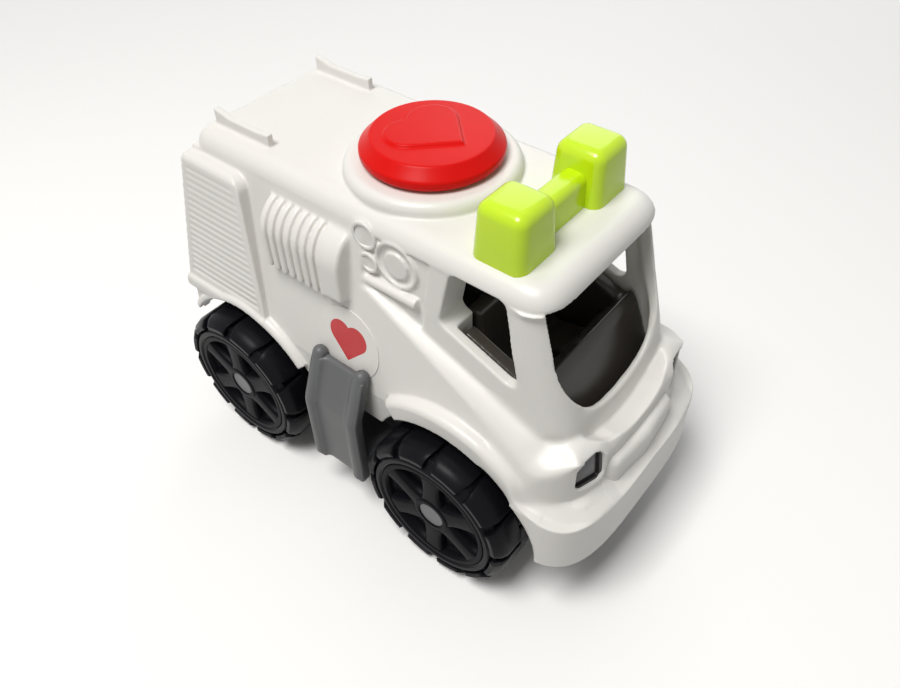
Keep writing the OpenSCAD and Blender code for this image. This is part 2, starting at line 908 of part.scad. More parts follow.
module chassis() {
    rear_x = rear_post_x - post_r;
    rail_rear_x = rear_post_x + post_r;
    rail_front_x = front_post_x - post_r - fit_gap;
    color([0.42, 0.43, 0.44])
        difference() {
            union() {
                translate([0, 0, pan_z])
                    linear_extrude(pan_t)
                        round_box(rail_rear_x, rail_front_x, 2 * rail_y, pan_t);
                for (side = [-1, 1])
                    translate([rail_rear_x, side * (rail_y - pan_t / 2) - pan_t / 2, pan_z])
                        cube([rail_front_x - rail_rear_x, pan_t, rail_z - pan_z]);
                for (x = [rail_rear_x, rail_front_x - pan_t])
                    translate([x, -rail_y, pan_z])
                        cube([pan_t, 2 * rail_y, (x < 0 ? rear_post_z : front_post_z) - pan_z]);
                translate([rail_front_x - pan_t, -rail_y, front_post_z - pan_t])
                    cube([front_post_x + post_r - rail_front_x + pan_t, 2 * rail_y, pan_t]);
                translate([rear_x, -rail_y, rear_post_z - pan_t])
                    cube([rail_rear_x - rear_x + pan_t, 2 * rail_y, pan_t]);
                both_sides() {
                    side_step();
                    lamp_post();
                }
                for (x = [front_axle_x, rear_axle_x], side = [-1, 1])
                    translate([x, side * (rail_y - pan_t), axle_z])
                        rotate([90, 0, 0])
                            cylinder(h = 2 * pan_t, r = axle_r + pan_t, center = true);
            }
            for (x = [front_axle_x, rear_axle_x])
                translate([x, 0, axle_z])
                    rotate([90, 0, 0])
                        cylinder(h = reach, r = axle_r + run_gap, center = true);
            screw_holes(screw_r + fit_gap);
        }
}

// One seat with a rounded cushion and a leaning back
module seat(side) {
    seat_w = cab_top_w / 2 - jamb_d - 2 * wall;
    y = side * (cab_top_w / 2 - jamb_d - rail_gap - seat_w / 2);
    cushion_h = window_rear_h;
    back_x = window_x + wall;
    translate([0, y, 0])
        along_y(seat_w)
            polygon([
                [back_x, rail_z], [back_x + window_rear_h, rail_z],
                [back_x + window_rear_h, rail_z + cushion_h], [back_x + seat_w / 2, rail_z + cushion_h - wall],
                [back_x + wall, window_top_z - window_rear_h - wall],
                [back_x - wall, window_top_z - window_rear_h - wall]
            ]);
}

// Side wall of the interior tub, just under the lower edge of a side window
module tub_wall(y, front_x) {
    fall = (window_front_h - window_rear_h) / window_l;
    rear_x = window_x + window_rear_slant + rail_gap;
    top_z = window_top_z - window_rear_h - wall / 2;
    translate([0, y, 0])
        along_y(2 * wall)
            polygon([
                [rear_x, rail_z + wall], [front_x, rail_z + wall],
                [front_x, top_z - (front_x - window_x) * fall], [rear_x, top_z - (rear_x - window_x) * fall]
            ]);
}

module cab_interior() {
    floor_w = 2 * cab_y(screen_z) - 2 * wall - rail_gap;
    dash_x = screen_x + (roof_under_z - screen_z) * tan(screen_lean) - 2 * wall;
    dash_z = screen_z - pillar_r - wall;
    front_x = front_post_x - post_r - rail_gap;
    color([0.2, 0.2, 0.19]) {
        translate([0, 0, rail_z + fit_gap])
            linear_extrude(wall)
                round_box(window_x - wall, front_x, floor_w, pillar_r);
        for (side = [-1, 1]) {
            seat(side);
            tub_wall(side * (floor_w / 2 - wall), dash_x);
        }
        intersection() {
            along_y(floor_w)
                polygon([
                    [dash_x - pillar_r, rail_z + wall], [front_x, rail_z + wall], [front_x, nose_z - pillar_r],
                    [dash_x, dash_z - wall], [dash_x - wall, dash_z], [dash_x - pillar_r, dash_z - pillar_r]
                ]);
            translate([0, 0, rail_z])
                linear_extrude(roof_z)
                    round_box(-total_l, front_x + wall, floor_w, pillar_r);
        }
    }
}

// Tapered block with rounded edges
module light_block(y) {
    low_x = block_l / 2 - block_round;
    low_y = block_w / 2 - block_round;
    hull()
        for (sx = [-1, 1], sy = [-1, 1]) {
            translate([bar_x + sx * low_x, y + sy * low_y, roof_z])
                cylinder(h = block_round, r = block_round, $fn = 24);
            translate([
                bar_x + sx * (low_x - block_taper),
                y + sy * (low_y - block_taper),
                roof_z + block_h - block_round
            ])
                sphere(block_round, $fn = 24);
        }
}

module light_bar() {
    r = saddle_l / 2;
    color([0.78, 0.92, 0.1]) {
        for (side = [-1, 1])
            light_block(side * block_y);
        translate([bar_x, 0, roof_z])
            along_y(2 * block_y) {
                translate([-r, 0])
                    square([saddle_l, saddle_h - r / 2]);
                translate([-r / 2, 0])
                    square([r, saddle_h]);
                for (side = [-1, 1])
                    translate([side * r / 2, saddle_h - r / 2])
                        circle(r / 2);
            }
        bar_pegs(peg_r, wall + collar_h + bead_h, roof_z + collar_h);
        bar_pegs(peg_r + peg_bead, bead_h, roof_z - wall - fit_gap);
    }
}

// Heart outline whose tip points along X
module heart(size) {
    lobe_share = 0.293;
    shift_share = 0.043;
    lobe_r = size * lobe_share;
    translate([size * shift_share, 0])
        rotate(135) {
            square(2 * lobe_r, center = true);
            translate([lobe_r, 0])
                circle(lobe_r);
            translate([0, lobe_r])
                circle(lobe_r);
        }
}

// Turning cap with a raised heart and a split stem that snaps through the roof
module roof_cap() {
    under_z = roof_z - wall - cap_gap;
    top_z = cap_z + cap_h;
    edge = cap_h / 5;
    slot_w = stem_r / 4;
    heart_share = 1.4;
    color([0.86, 0.1, 0.08])
        translate([cap_x, 0, 0]) {
            rotate_extrude()
                polygon([
                    [0, cap_z], [cap_r - edge, cap_z], [cap_r, cap_z + edge],
                    [cap_r, cap_z + cap_h / 2], [cap_top_r + edge, top_z - edge],
                    [cap_top_r, top_z], [0, top_z]
                ]);
            translate([0, 0, top_z - edge])
                linear_extrude(edge + heart_h)
                    heart(cap_top_r * heart_share);
            difference() {
                union() {
                    translate([0, 0, under_z - bead_h])
                        cylinder(h = cap_z + edge - under_z + bead_h, r = stem_r);
                    translate([0, 0, under_z - 2 * bead_h])
                        cylinder(h = 2 * bead_h, r = stem_r + bead_out);
                }
                for (turn = [0, 90])
                    rotate(turn)
                        translate([-stem_r - over, -slot_w / 2, under_z - 2 * bead_h - over])
                            cube([2 * stem_r + 2 * over, slot_w, 2 * bead_h + over + wall]);
            }
        }
}

// Grey rod whose ends show in the hubs; a bead near each end snaps into its hub
module axle(x) {
    color([0.55, 0.55, 0.56])
        translate([x, 0, axle_z])
            rotate([90, 0, 0]) {
                cylinder(h = track_w - 2 * axle_inset, r = axle_r, center = true);
                for (side = [-1, 1])
                    translate([0, 0, side * (track_w / 2 - bead_inset)])
                        cylinder(h = bead_h, r = axle_r + bead_out, center = true);
            }
}

module front_axle() {
    axle(front_axle_x);
}

module rear_axle() {
    axle(rear_axle_x);
}

// Places a wheel piece with its outer face at height zero, looking outwards
module at_wheel(x, side) {
    translate([x, side * track_w / 2, axle_z])
        rotate([-side * 90, 0, 0])
            children();
}

// Tyre with two staggered rows of tread blocks
module tyre(x, side) {
    seat_lip = hub_rim_t / 2;
    row_share = 0.55;
    row_w = tyre_w * row_share;
    color([0.1, 0.1, 0.11])
        at_wheel(x, side)
            difference() {
                rotate_extrude()
                    polygon([
                        [rim_r, -tyre_w], [tyre_r - tyre_bevel, -tyre_w], [tyre_r, tyre_bevel - tyre_w],
                        [tyre_r, -tyre_bevel], [tyre_r - tyre_bevel, 0], [rim_r + seat_lip, 0], [rim_r, -seat_lip]
                    ]);
                for (i = [0 : tread_count - 1], row = [0, 1])
                    rotate((i + row / 2) * 360 / tread_count)
                        translate([tyre_r - tread_depth, -tread_gap / 2, row == 0 ? -row_w : -tyre_w - over])
                            cube([tread_depth + over, tread_gap, row == 0 ? row_w + over : tyre_w - row_w + 2 * over]);
            }
}

module tyre_front_right() {
    tyre(front_axle_x, -1);
}

module tyre_front_left() {
    tyre(front_axle_x, 1);
}

module tyre_rear_right() {
    tyre(rear_axle_x, -1);
}

module tyre_rear_left() {
    tyre(rear_axle_x, 1);
}

// Spoked hub with a recessed face and a bore that snaps over the axle
module hub(x, side) {
    rim_out = rim_r - fit_gap / 2;
    rim_in = rim_r - hub_rim_t;
    web_share = 0.5;
    web_z = -tyre_w * web_share;
    web_t = hub_rim_t;
    spoke_h_share = 0.7;
    boss_l = tyre_w - rail_gap;
    color([0.13, 0.13, 0.14])
        at_wheel(x, side)
            difference() {
                union() {
                    difference() {
                        translate([0, 0, -boss_l])
                            cylinder(h = boss_l - axle_inset / 2, r = rim_out);
                        translate([0, 0, web_z])
                            cylinder(h = tyre_w, r = rim_in);
                        translate([0, 0, -boss_l - over])
                            cylinder(h = boss_l + over + web_z - web_t, r = rim_in);
                    }
                    translate([0, 0, -boss_l])
                        cylinder(h = boss_l - axle_inset / 2, r = boss_r);
                    for (i = [0 : spoke_count - 1])
                        rotate(i * 360 / spoke_count)
                            translate([boss_r - over, -spoke_w / 2, web_z - web_t])
                                cube([rim_in - boss_r + 2 * over, spoke_w, web_t - web_z * spoke_h_share]);
                }
                translate([0, 0, -tyre_w])
                    cylinder(h = tyre_w + over, r = axle_r + run_gap);
                translate([0, 0, -bead_inset])
                    cylinder(h = bead_h + 4 * run_gap, r = axle_r + bead_out + run_gap, center = true);
            }
}

module hub_front_right() {
    hub(front_axle_x, -1);
}

module hub_front_left() {
    hub(front_axle_x, 1);
}

module hub_rear_right() {
    hub(rear_axle_x, -1);
}

module hub_rear_left() {
    hub(rear_axle_x, 1);
}

// Thin disc on the leaning flank
module sticker(side) {
    rise_share = 0.62;
    ahead_share = 0.1;
    z = step_top_z + sticker_r * rise_share;
    color([0.95, 0.94, 0.93])
        translate([step_x + sticker_r * ahead_share, side * flank_y(z), z])
            rotate([side * flank_lean, 0, 0])
                rotate([-side * 90, 0, 0])
                    cylinder(h = sticker_t, r = sticker_r);
}

module sticker_right() {
    sticker(-1);
}

module sticker_left() {
    sticker(1);
}

module chassis_screws() {
    color([0.7, 0.7, 0.72])
        for (side = [-1, 1], place = [
            [front_post_x, front_post_y, front_post_z],
            [rear_post_x, rear_post_y, rear_post_z]
        ])
            translate([place[0], side * place[1], place[2] - pan_t]) {
                cylinder(h = screw_l - over, r = screw_r);
                translate([0, 0, -screw_head_h])
                    cylinder(h = screw_head_h, r = screw_head_r);
            }
}

body_shell();
chassis();
cab_interior();
light_bar();
roof_cap();
front_axle();
rear_axle();
tyre_front_right();
tyre_front_left();
tyre_rear_right();
tyre_rear_left();
hub_front_right();
hub_front_left();
hub_rear_right();
hub_rear_left();
sticker_right();
sticker_left();
chassis_screws();
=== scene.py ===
import math

import bmesh
import bpy
import numpy as np
from mathutils import Matrix, Vector


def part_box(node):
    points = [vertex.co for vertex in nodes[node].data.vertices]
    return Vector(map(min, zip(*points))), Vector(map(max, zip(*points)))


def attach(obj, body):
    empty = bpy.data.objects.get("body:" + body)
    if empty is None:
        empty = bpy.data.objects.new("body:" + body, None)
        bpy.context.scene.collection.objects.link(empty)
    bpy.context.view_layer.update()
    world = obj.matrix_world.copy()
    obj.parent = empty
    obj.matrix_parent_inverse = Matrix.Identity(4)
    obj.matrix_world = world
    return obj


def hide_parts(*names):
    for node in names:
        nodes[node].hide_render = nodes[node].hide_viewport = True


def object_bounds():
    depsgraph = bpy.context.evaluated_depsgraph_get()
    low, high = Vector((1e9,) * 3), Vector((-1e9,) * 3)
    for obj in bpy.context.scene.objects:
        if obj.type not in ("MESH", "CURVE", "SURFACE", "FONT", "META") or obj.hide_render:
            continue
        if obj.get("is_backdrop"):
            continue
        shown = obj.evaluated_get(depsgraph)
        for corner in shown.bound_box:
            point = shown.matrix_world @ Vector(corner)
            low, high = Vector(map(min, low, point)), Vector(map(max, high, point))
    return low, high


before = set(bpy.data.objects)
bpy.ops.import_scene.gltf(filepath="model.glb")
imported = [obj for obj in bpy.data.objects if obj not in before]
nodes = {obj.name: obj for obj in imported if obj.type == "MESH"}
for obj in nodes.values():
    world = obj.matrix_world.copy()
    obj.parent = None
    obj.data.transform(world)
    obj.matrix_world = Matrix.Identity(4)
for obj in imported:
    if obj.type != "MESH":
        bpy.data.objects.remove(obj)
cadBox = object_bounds()
scene = bpy.context.scene
mm = 0.001
wheelNames = ["front_right", "front_left", "rear_right", "rear_left"]
sides = [("right", -1), ("left", 1)]
weldDistance = 2e-6
print("frame loaded:", len(nodes), "nodes")


# small helpers for meshes

def addObject(name, mesh):
    obj = bpy.data.objects.new(name, mesh)
    scene.collection.objects.link(obj)
    return obj


def meshObject(name, bm):
    mesh = bpy.data.meshes.new(name)
    bm.to_mesh(mesh)
    bm.free()
    return addObject(name, mesh)


def skin(bm, loops, closed=False):
    # quads between neighbouring loops, and from the last to the first when closed
    pairs = list(zip(loops, loops[1:]))
    if closed:
        pairs.append((loops[-1], loops[0]))
    for first, second in pairs:
        for i in range(len(first)):
            k = (i + 1) % len(first)
            bm.faces.new((first[i], first[k], second[k], second[i]))


def bakeModifiers(obj):
    # the evaluated shape becomes the object's own plain mesh
    depsgraph = bpy.context.evaluated_depsgraph_get()
    mesh = bpy.data.meshes.new_from_object(obj.evaluated_get(depsgraph))
    obj.modifiers.clear()
    old = obj.data
    obj.data = mesh
    if old.users == 0:
        bpy.data.meshes.remove(old)
    return obj


def joinMeshes(name, objects, materials):
    # one plain mesh from several; each part keeps its own material by name
    bm = bmesh.new()
    for obj in objects:
        part = obj.data
        start = len(bm.faces)
        bm.from_mesh(part)
        bm.faces.ensure_lookup_table()
        used = [materials.index(m) if m in materials else 0 for m in part.materials] or [0]
        for face in bm.faces[start:]:
            face.material_index = used[min(face.material_index, len(used) - 1)]
    mesh = bpy.data.meshes.new(name)
    bm.to_mesh(mesh)
    bm.free()
    for material in materials:
        mesh.materials.append(material)
    for obj in objects:
        old = obj.data
        bpy.data.objects.remove(obj)
        bpy.data.meshes.remove(old)
    return addObject(name, mesh)


def smoothShade(obj, sharpDegrees=None):
    obj.data.shade_smooth()
    if sharpDegrees is not None:
        obj.data.set_sharp_from_angle(angle=math.radians(sharpDegrees))


def bevelEdges(obj, width, degrees):
    bevel = obj.modifiers.new("edge", "BEVEL")
    bevel.width = width
    bevel.segments = 2
    bevel.limit_method = "ANGLE"
    bevel.angle_limit = math.radians(degrees)
    return bakeModifiers(obj)


def paint(obj, material):
    obj.data.materials.clear()
    obj.data.materials.append(material)


def fillet(points, steps=5):
    # rounds each corner (x, y, radius) of a closed outline
    loop = []
    count = len(points)
    for i, (x, y, radius) in enumerate(points):
        here = Vector((x, y))
        back = Vector(points[i - 1][:2]) - here
        ahead = Vector(points[(i + 1) % count][:2]) - here
        if radius <= 0:
            loop.append((x, y))
            continue
        half = back.angle(ahead) / 2
        cut = min(radius / math.tan(half), back.length * 0.49, ahead.length * 0.49)
        first = here + back.normalized() * cut
        last = here + ahead.normalized() * cut
        for k in range(steps + 1):
            t = k / steps
            near = first.lerp(here, t)
            far = here.lerp(last, t)
            point = near.lerp(far, t)
            loop.append((point.x, point.y))
    return loop


def lathe(name, loop, centre, side, steps=96):
    # turns a closed (radius, depth) outline about an axis along Y; depth runs inwards from the outer face
    bm = bmesh.new()
    rings = []
    for i in range(steps):
        angle = math.tau * i / steps
        ring = []
        for radius, depth in loop:
            ring.append(bm.verts.new((
                centre.x + radius * math.cos(angle),
                centre.y - side * depth,
                centre.z + radius * math.sin(angle),
            )))
        rings.append(ring)
    skin(bm, rings, closed=True)
    bmesh.ops.recalc_face_normals(bm, faces=bm.faces)
    return meshObject(name, bm)


def vertexPlaces(obj):
    places = np.empty(len(obj.data.vertices) * 3)
    obj.data.vertices.foreach_get("co", places)
    return places.reshape(-1, 3)


def softenZone(obj, zone):
    # more rounding inside a box, fading out over its margin
    places = vertexPlaces(obj)
    if zone.get("bothSides"):
        places[:, 1] = np.abs(places[:, 1])
    low, high = np.array(zone["low"]) * mm, np.array(zone["high"]) * mm
    outside = np.maximum(low - places, places - high).max(axis=1)
    steps = 4
    level = np.round(np.clip(1 - outside / (zone["margin"] * mm), 0, 1) * steps).astype(int)
    group = obj.vertex_groups.new(name="zone")
    for step in range(1, steps + 1):
        group.add(np.nonzero(level == step)[0].tolist(), step / steps, "REPLACE")
    more = obj.modifiers.new("zone", "SMOOTH")
    more.factor = 0.5
    more.iterations = zone["rounds"]
    more.vertex_group = group.name
    bakeModifiers(obj)
    obj.vertex_groups.clear()


# the front of the vehicle; places in mm, and pairs are where a smooth change starts and ends
frontForm = {
    "bow": 150, "reachX": (52, 62), "ledgeWidth": 4,
    "bumper": {
        "half": 36.8, "corner": 17, "front": 75, "reach": 23, "power": 3.8, "spare": 0.4, "top": (43.6, 44.2),
        "fall": 2.3, "fallFrom": (27, 42.5), "fallEnd": (44.4, 46.9), "fallAhead": (54, 70),
    },
    "nose": {
        "half": 34, "corner": 16, "front": 71, "reach": 23, "power": 3.0, "spare": 0.4, "top": (58, 65),
        "back": 0.5, "flat": (24, 33),
    },
    "bar": {
        "half": 21, "low": 43.55, "top": 54, "back": 0.8, "flat": (14, 19), "flare": 4, "flareFrom": 18.2,
        "ledge": 43.3, "ledgeHalf": 19.4, "ledgeBelow": 0.1, "ledgeAbove": 0.5, "clear": 0.4,
    },
    "lamp": {
        "in": 1.6, "edge": (21, 27), "past": (28.2, 33), "low": (46, 49), "top": (60.5, 63),
        "fall": 2.4, "side": (10, 15), "foot": (44.5, 48.5), "head": (50, 66),
    },
    "roof": {"x": 42.1, "y": 13.93, "low": (96, 99.5), "power": 3.2},
}


def fade(values, start, end):
    # 0 at start, 1 at end, smooth between
    t = np.clip((values - start) / (end - start), 0, 1)
    return t * t * (3 - 2 * t)


def window(values, rise, fall):
    return fade(values, *rise) * (1 - fade(values, *fall))


def roundedFront(y, form):
    # how far a rounded front edge lies behind its foremost point
    share = np.clip(np.abs(y) / (form["half"] + form["spare"]), 0, 0.999)
    return form["reach"] * (1 - (1 - share ** form["power"]) ** (1 / form["power"]))


def boxedFront(y, form):
    # the same for the solid's bowed edge with round corners
    bow, corner = frontForm["bow"], form["corner"]
    bowed = bow - np.sqrt(bow * bow - y * y)
    over = np.clip(np.abs(y) - (form["half"] - corner), 0, corner * 0.999)
    return np.maximum(bowed, corner - np.sqrt(corner * corner - over * over))


def shapeFront(places, extra):
    bumper, nose, bar = frontForm["bumper"], frontForm["nose"], frontForm["bar"]
    lamp, roof = frontForm["lamp"], frontForm["roof"]
    x, y, z = places.T
    ahead = fade(x, *frontForm["reachX"])

    # the outer edge of each lamp opening comes in along the face of the nose
    across, side = np.abs(y), np.sign(y)
    near = window(across, lamp["edge"], lamp["past"]) * window(z, lamp["low"], lamp["top"])
    out = across - lamp["in"] * near * ahead
    x = x + boxedFront(across, nose) - boxedFront(out, nose)

    # a rounder bow for the bumper and for the nose above it
    low = 1 - fade(z, *bumper["top"])
    bumperBack = roundedFront(out, bumper) - boxedFront(out, bumper)
    noseBack = roundedFront(out, nose) - boxedFront(out, nose) + extra
    for part in (nose, bar):
        noseBack = noseBack + part["back"] * (1 - fade(out, *part["flat"]))
    noseBack = noseBack * (1 - fade(z, *nose["top"]))
    shift = ahead * (low * bumperBack + (1 - low) * noseBack)

    # the nose bar is a piece of its own below, so here it is trimmed to the face of the nose and to the ledge
    face = nose["front"] - boxedFront(out, nose)
    trim = face + bar["flare"] * fade(out, bar["flareFrom"], bar["half"])
    onLedge = (out < bar["ledgeHalf"]) & (x > trim + bar["clear"])
    onLedge &= (z > bar["ledge"] - bar["ledgeBelow"]) & (z < bar["low"] + bar["ledgeAbove"])
    inside = out < bar["half"]
    inBar = inside & (z > bar["low"]) & (z < bar["top"]) & ~onLedge
    z = np.where(onLedge, bar["ledge"], z)
    x = np.where(inBar, np.minimum(x, trim), x)
    inBumper = inside & (z < bar["low"] + bar["ledgeAbove"])
    x = np.where(inBumper, np.minimum(x, bumper["front"] - boxedFront(out, bumper)), x)

    # the ledge falls to its outer edge, and the lamps sit lower
    share = np.clip((x - face) / frontForm["ledgeWidth"], 0, 1)
    fall = bumper["fall"] * share * window(z, bumper["fallFrom"], bumper["fallEnd"]) * fade(x, *bumper["fallAhead"])
    lampFall = lamp["fall"] * window(across, lamp["side"], lamp["past"]) * window(z, lamp["foot"], lamp["head"]) * ahead

    # the front corners of the roof are squarer than a round one
    u, v = np.clip(x - roof["x"], 0, None), np.clip(out - roof["y"], 0, None)
    reach = np.maximum(np.hypot(u, v), 1e-6)
    spread = np.clip((u / reach) ** roof["power"] + (v / reach) ** roof["power"], 1e-3, 1)
    grow = (spread ** (-1 / roof["power"]) - 1) * fade(z, *roof["low"]) * (reach > 1e-5)
    return np.column_stack((x - shift + u * grow, side * (out + v * grow), z - fall - lampFall))


def reshape(obj, extra):
    shaped = shapeFront(vertexPlaces(obj) / mm, extra) * mm
    obj.data.vertices.foreach_set("co", shaped.ravel())
    obj.data.update()


def softCopy(node, name, soft):
    # the node's form with the rounded edges that a moulding has
    mesh = nodes[node].data.copy()
    bm = bmesh.new()
    bm.from_mesh(mesh)
    bmesh.ops.remove_doubles(bm, verts=bm.verts, dist=weldDistance)
    bm.to_mesh(mesh)
    bm.free()
    mesh.materials.clear()
    obj = addObject(name, mesh)
    remesh = obj.modifiers.new("voxels", "REMESH")
    remesh.mode = "VOXEL"
    remesh.voxel_size = soft["voxel"]
    bakeModifiers(obj)
    if "front" in soft:
        reshape(obj, soft["front"])
    soften = obj.modifiers.new("round", "SMOOTH")
    soften.factor = 0.5
    soften.iterations = soft["rounds"]
    bakeModifiers(obj)
    for zone in soft.get("zones", []):
        softenZone(obj, zone)
    triangles = 2 * len(obj.data.polygons)
    if triangles > soft["triangles"]:
        thin = obj.modifiers.new("thin", "DECIMATE")
        thin.ratio = soft["triangles"] / triangles
        bakeModifiers(obj)
    smoothShade(obj)
    # large faces lead the shading, so long thin ones leave no streaks
    even = obj.modifiers.new("even", "WEIGHTED_NORMAL")
    even.mode = "FACE_AREA"
    even.weight = 50
    bakeModifiers(obj)
    print("soft copy:", name, len(obj.data.polygons), "faces")
    return obj


# node trees for what repeats

def newTree(name, inputs):
    tree = bpy.data.node_groups.new(name, "GeometryNodeTree")
    face = tree.interface
    face.new_socket(name="Geometry", in_out="INPUT", socket_type="NodeSocketGeometry")
    for label, kind in inputs:
        face.new_socket(name=label, in_out="INPUT", socket_type=kind)
    face.new_socket(name="Geometry", in_out="OUTPUT", socket_type="NodeSocketGeometry")
    return tree, tree.nodes, tree.links


def mathNode(tree, operation, a, b):
    node = tree.nodes.new("ShaderNodeMath")
    node.operation = operation
    for socket, value in zip(node.inputs, (a, b)):
        if isinstance(value, (int, float)):
            socket.default_value = value
        else:
            tree.links.new(value, socket)
    return node.outputs[0]


def endTree(tree, start, points):
    # sets the piece on the points, makes the copies real and gives them their finish
    place = tree.nodes.new("GeometryNodeInstanceOnPoints")
    realize = tree.nodes.new("GeometryNodeRealizeInstances")
    finish = tree.nodes.new("GeometryNodeSetMaterial")
    end = tree.nodes.new("NodeGroupOutput")
    tree.links.new(points, place.inputs["Points"])
    tree.links.new(start.outputs["Geometry"], place.inputs["Instance"])
    tree.links.new(place.outputs[0], realize.inputs[0])
    tree.links.new(realize.outputs[0], finish.inputs["Geometry"])
    tree.links.new(start.outputs["Material"], finish.inputs["Material"])
    tree.links.new(finish.outputs[0], end.inputs[0])
    return place


def ringTree():
    # copies of a piece turned about an axle along Y
    tree, treeNodes, links = newTree("ringOfPieces", [
        ("Count", "NodeSocketInt"),
        ("Centre", "NodeSocketVector"),
        ("Start", "NodeSocketFloat"),
        ("Material", "NodeSocketMaterial"),
    ])
    start = treeNodes.new("NodeGroupInput")
    points = treeNodes.new("GeometryNodePoints")
    index = treeNodes.new("GeometryNodeInputIndex")
    turn = treeNodes.new("ShaderNodeCombineXYZ")
    euler = treeNodes.new("FunctionNodeEulerToRotation")
    place = endTree(tree, start, points.outputs[0])
    step = mathNode(tree, "DIVIDE", math.tau, start.outputs["Count"])
    turned = mathNode(tree, "MULTIPLY", index.outputs[0], step)
    links.new(mathNode(tree, "ADD", turned, start.outputs["Start"]), turn.inputs["Y"])
    links.new(turn.outputs[0], euler.inputs[0])
    links.new(euler.outputs[0], place.inputs["Rotation"])
    links.new(start.outputs["Count"], points.inputs["Count"])
    links.new(start.outputs["Centre"], points.inputs["Position"])
    return tree


spotLabels = ["SpotA", "SpotB", "SpotC", "SpotD"]


def spotTree():
    # a copy of a piece at each of four places
    inputs = [(label, "NodeSocketVector") for label in spotLabels]
    tree, treeNodes, links = newTree("pieceAtSpots", inputs + [("Material", "NodeSocketMaterial")])
    start = treeNodes.new("NodeGroupInput")
    spots = treeNodes.new("GeometryNodeJoinGeometry")
    for label in spotLabels:
        point = treeNodes.new("GeometryNodePoints")
        point.inputs["Count"].default_value = 1
        links.new(start.outputs[label], point.inputs["Position"])
        links.new(point.outputs[0], spots.inputs[0])
    endTree(tree, start, spots.outputs[0])
    return tree


def runTree(obj, tree, values):
    modifier = obj.modifiers.new(tree.name, "NODES")
    modifier.node_group = tree
    for item in tree.interface.items_tree:
        if item.in_out == "INPUT" and item.name in values:
            modifier[item.identifier] = values[item.name]
    return bakeModifiers(obj)


ring = ringTree()
spots = spotTree()
print("node trees built")


# finishes

def mouldedPlastic(name, finish):
    # moulded plastic: cloudy colour, uneven gloss and a fine skin texture
    material = bpy.data.materials.new(name)
    material.use_nodes = True
    tree = material.node_tree
    shader = tree.nodes["Principled BSDF"]
    place = tree.nodes.new("ShaderNodeTexCoord")
    cloud = tree.nodes.new("ShaderNodeTexNoise")
    cloud.inputs["Scale"].default_value = finish["cloudScale"]
    cloud.inputs["Detail"].default_value = 3
    tint = tree.nodes.new("ShaderNodeMix")
    tint.data_type = "RGBA"
    tint.inputs["A"].default_value = (*finish["colour"], 1)
    tint.inputs["B"].default_value = (*finish["shade"], 1)
    grain = tree.nodes.new("ShaderNodeTexNoise")
    grain.inputs["Scale"].default_value = finish["skinScale"]
    grain.inputs["Detail"].default_value = 2
    gloss = tree.nodes.new("ShaderNodeMapRange")
    gloss.inputs["To Min"].default_value = finish["rough"][0]
    gloss.inputs["To Max"].default_value = finish["rough"][1]
    bump = tree.nodes.new("ShaderNodeBump")
    bump.inputs["Strength"].default_value = finish["bump"]
    bump.inputs["Distance"].default_value = 0.05 * mm
    link = tree.links.new
    link(place.outputs["Object"], cloud.inputs["Vector"])
    link(place.outputs["Object"], grain.inputs["Vector"])
    link(cloud.outputs[0], tint.inputs["Factor"])
    link(tint.outputs["Result"], shader.inputs["Base Color"])
    link(cloud.outputs[0], gloss.inputs["Value"])
    link(gloss.outputs[0], shader.inputs["Roughness"])
    link(grain.outputs[0], bump.inputs["Height"])
    link(bump.outputs[0], shader.inputs["Normal"])
    shader.inputs["IOR"].default_value = 1.46
    shader.inputs["Specular IOR Level"].default_value = finish.get("shine", 0.5)
    shader.inputs["Metallic"].default_value = finish.get("metal", 0)
    if "coat" in finish:
        shader.inputs["Coat Weight"].default_value = finish["coat"]
        shader.inputs["Coat Roughness"].default_value = 0.12
    if "glow" in finish:
        shader.inputs["Subsurface Weight"].default_value = finish["glow"]
        shader.inputs["Subsurface Radius"].default_value = finish["glowRadius"]
        shader.inputs["Subsurface Scale"].default_value = 1 * mm
    return material


shellFinish = {
    "colour": (0.76, 0.748, 0.722), "shade": (0.725, 0.712, 0.682),
    "cloudScale": 26, "skinScale": 2600, "rough": (0.30, 0.40), "bump": 0.10,
    "glow": 0.12, "glowRadius": (1.6, 1.4, 1.1),
}
chassisFinish = {
    "colour": (0.115, 0.118, 0.122), "shade": (0.095, 0.098, 0.102),
    "cloudScale": 60, "skinScale": 2200, "rough": (0.36, 0.48), "bump": 0.22,
}
interiorFinish = {
    "colour": (0.055, 0.047, 0.042), "shade": (0.038, 0.033, 0.029),
    "cloudScale": 40, "skinScale": 1800, "rough": (0.20, 0.30), "bump": 0.2, "shine": 0.4,
}
barFinish = {
    "colour": (0.58, 0.80, 0.006), "shade": (0.52, 0.76, 0.004),
    "cloudScale": 40, "skinScale": 1500, "rough": (0.14, 0.22), "bump": 0.06,
    "coat": 0.15, "glow": 0.25, "glowRadius": (1.2, 1.8, 0.3),
}
capFinish = {
    "colour": (0.70, 0.008, 0.006), "shade": (0.62, 0.006, 0.005),
    "cloudScale": 50, "skinScale": 1800, "rough": (0.24, 0.34), "bump": 0.1, "shine": 0.1,
    "glow": 0.08, "glowRadius": (1.5, 0.3, 0.2),
}
tyreFinish = {
    "colour": (0.006, 0.006, 0.008), "shade": (0.004, 0.004, 0.0055),
    "cloudScale": 70, "skinScale": 1600, "rough": (0.26, 0.42), "bump": 0.35, "shine": 0.09,
}
hubFinish = {
    "colour": (0.006, 0.006, 0.008), "shade": (0.004, 0.004, 0.0055),
    "cloudScale": 60, "skinScale": 1900, "rough": (0.26, 0.36), "bump": 0.2, "shine": 0.035,
}
axleFinish = {
    "colour": (0.17, 0.17, 0.18), "shade": (0.13, 0.13, 0.14),
    "cloudScale": 160, "skinScale": 1500, "rough": (0.38, 0.5), "bump": 0.3,
}
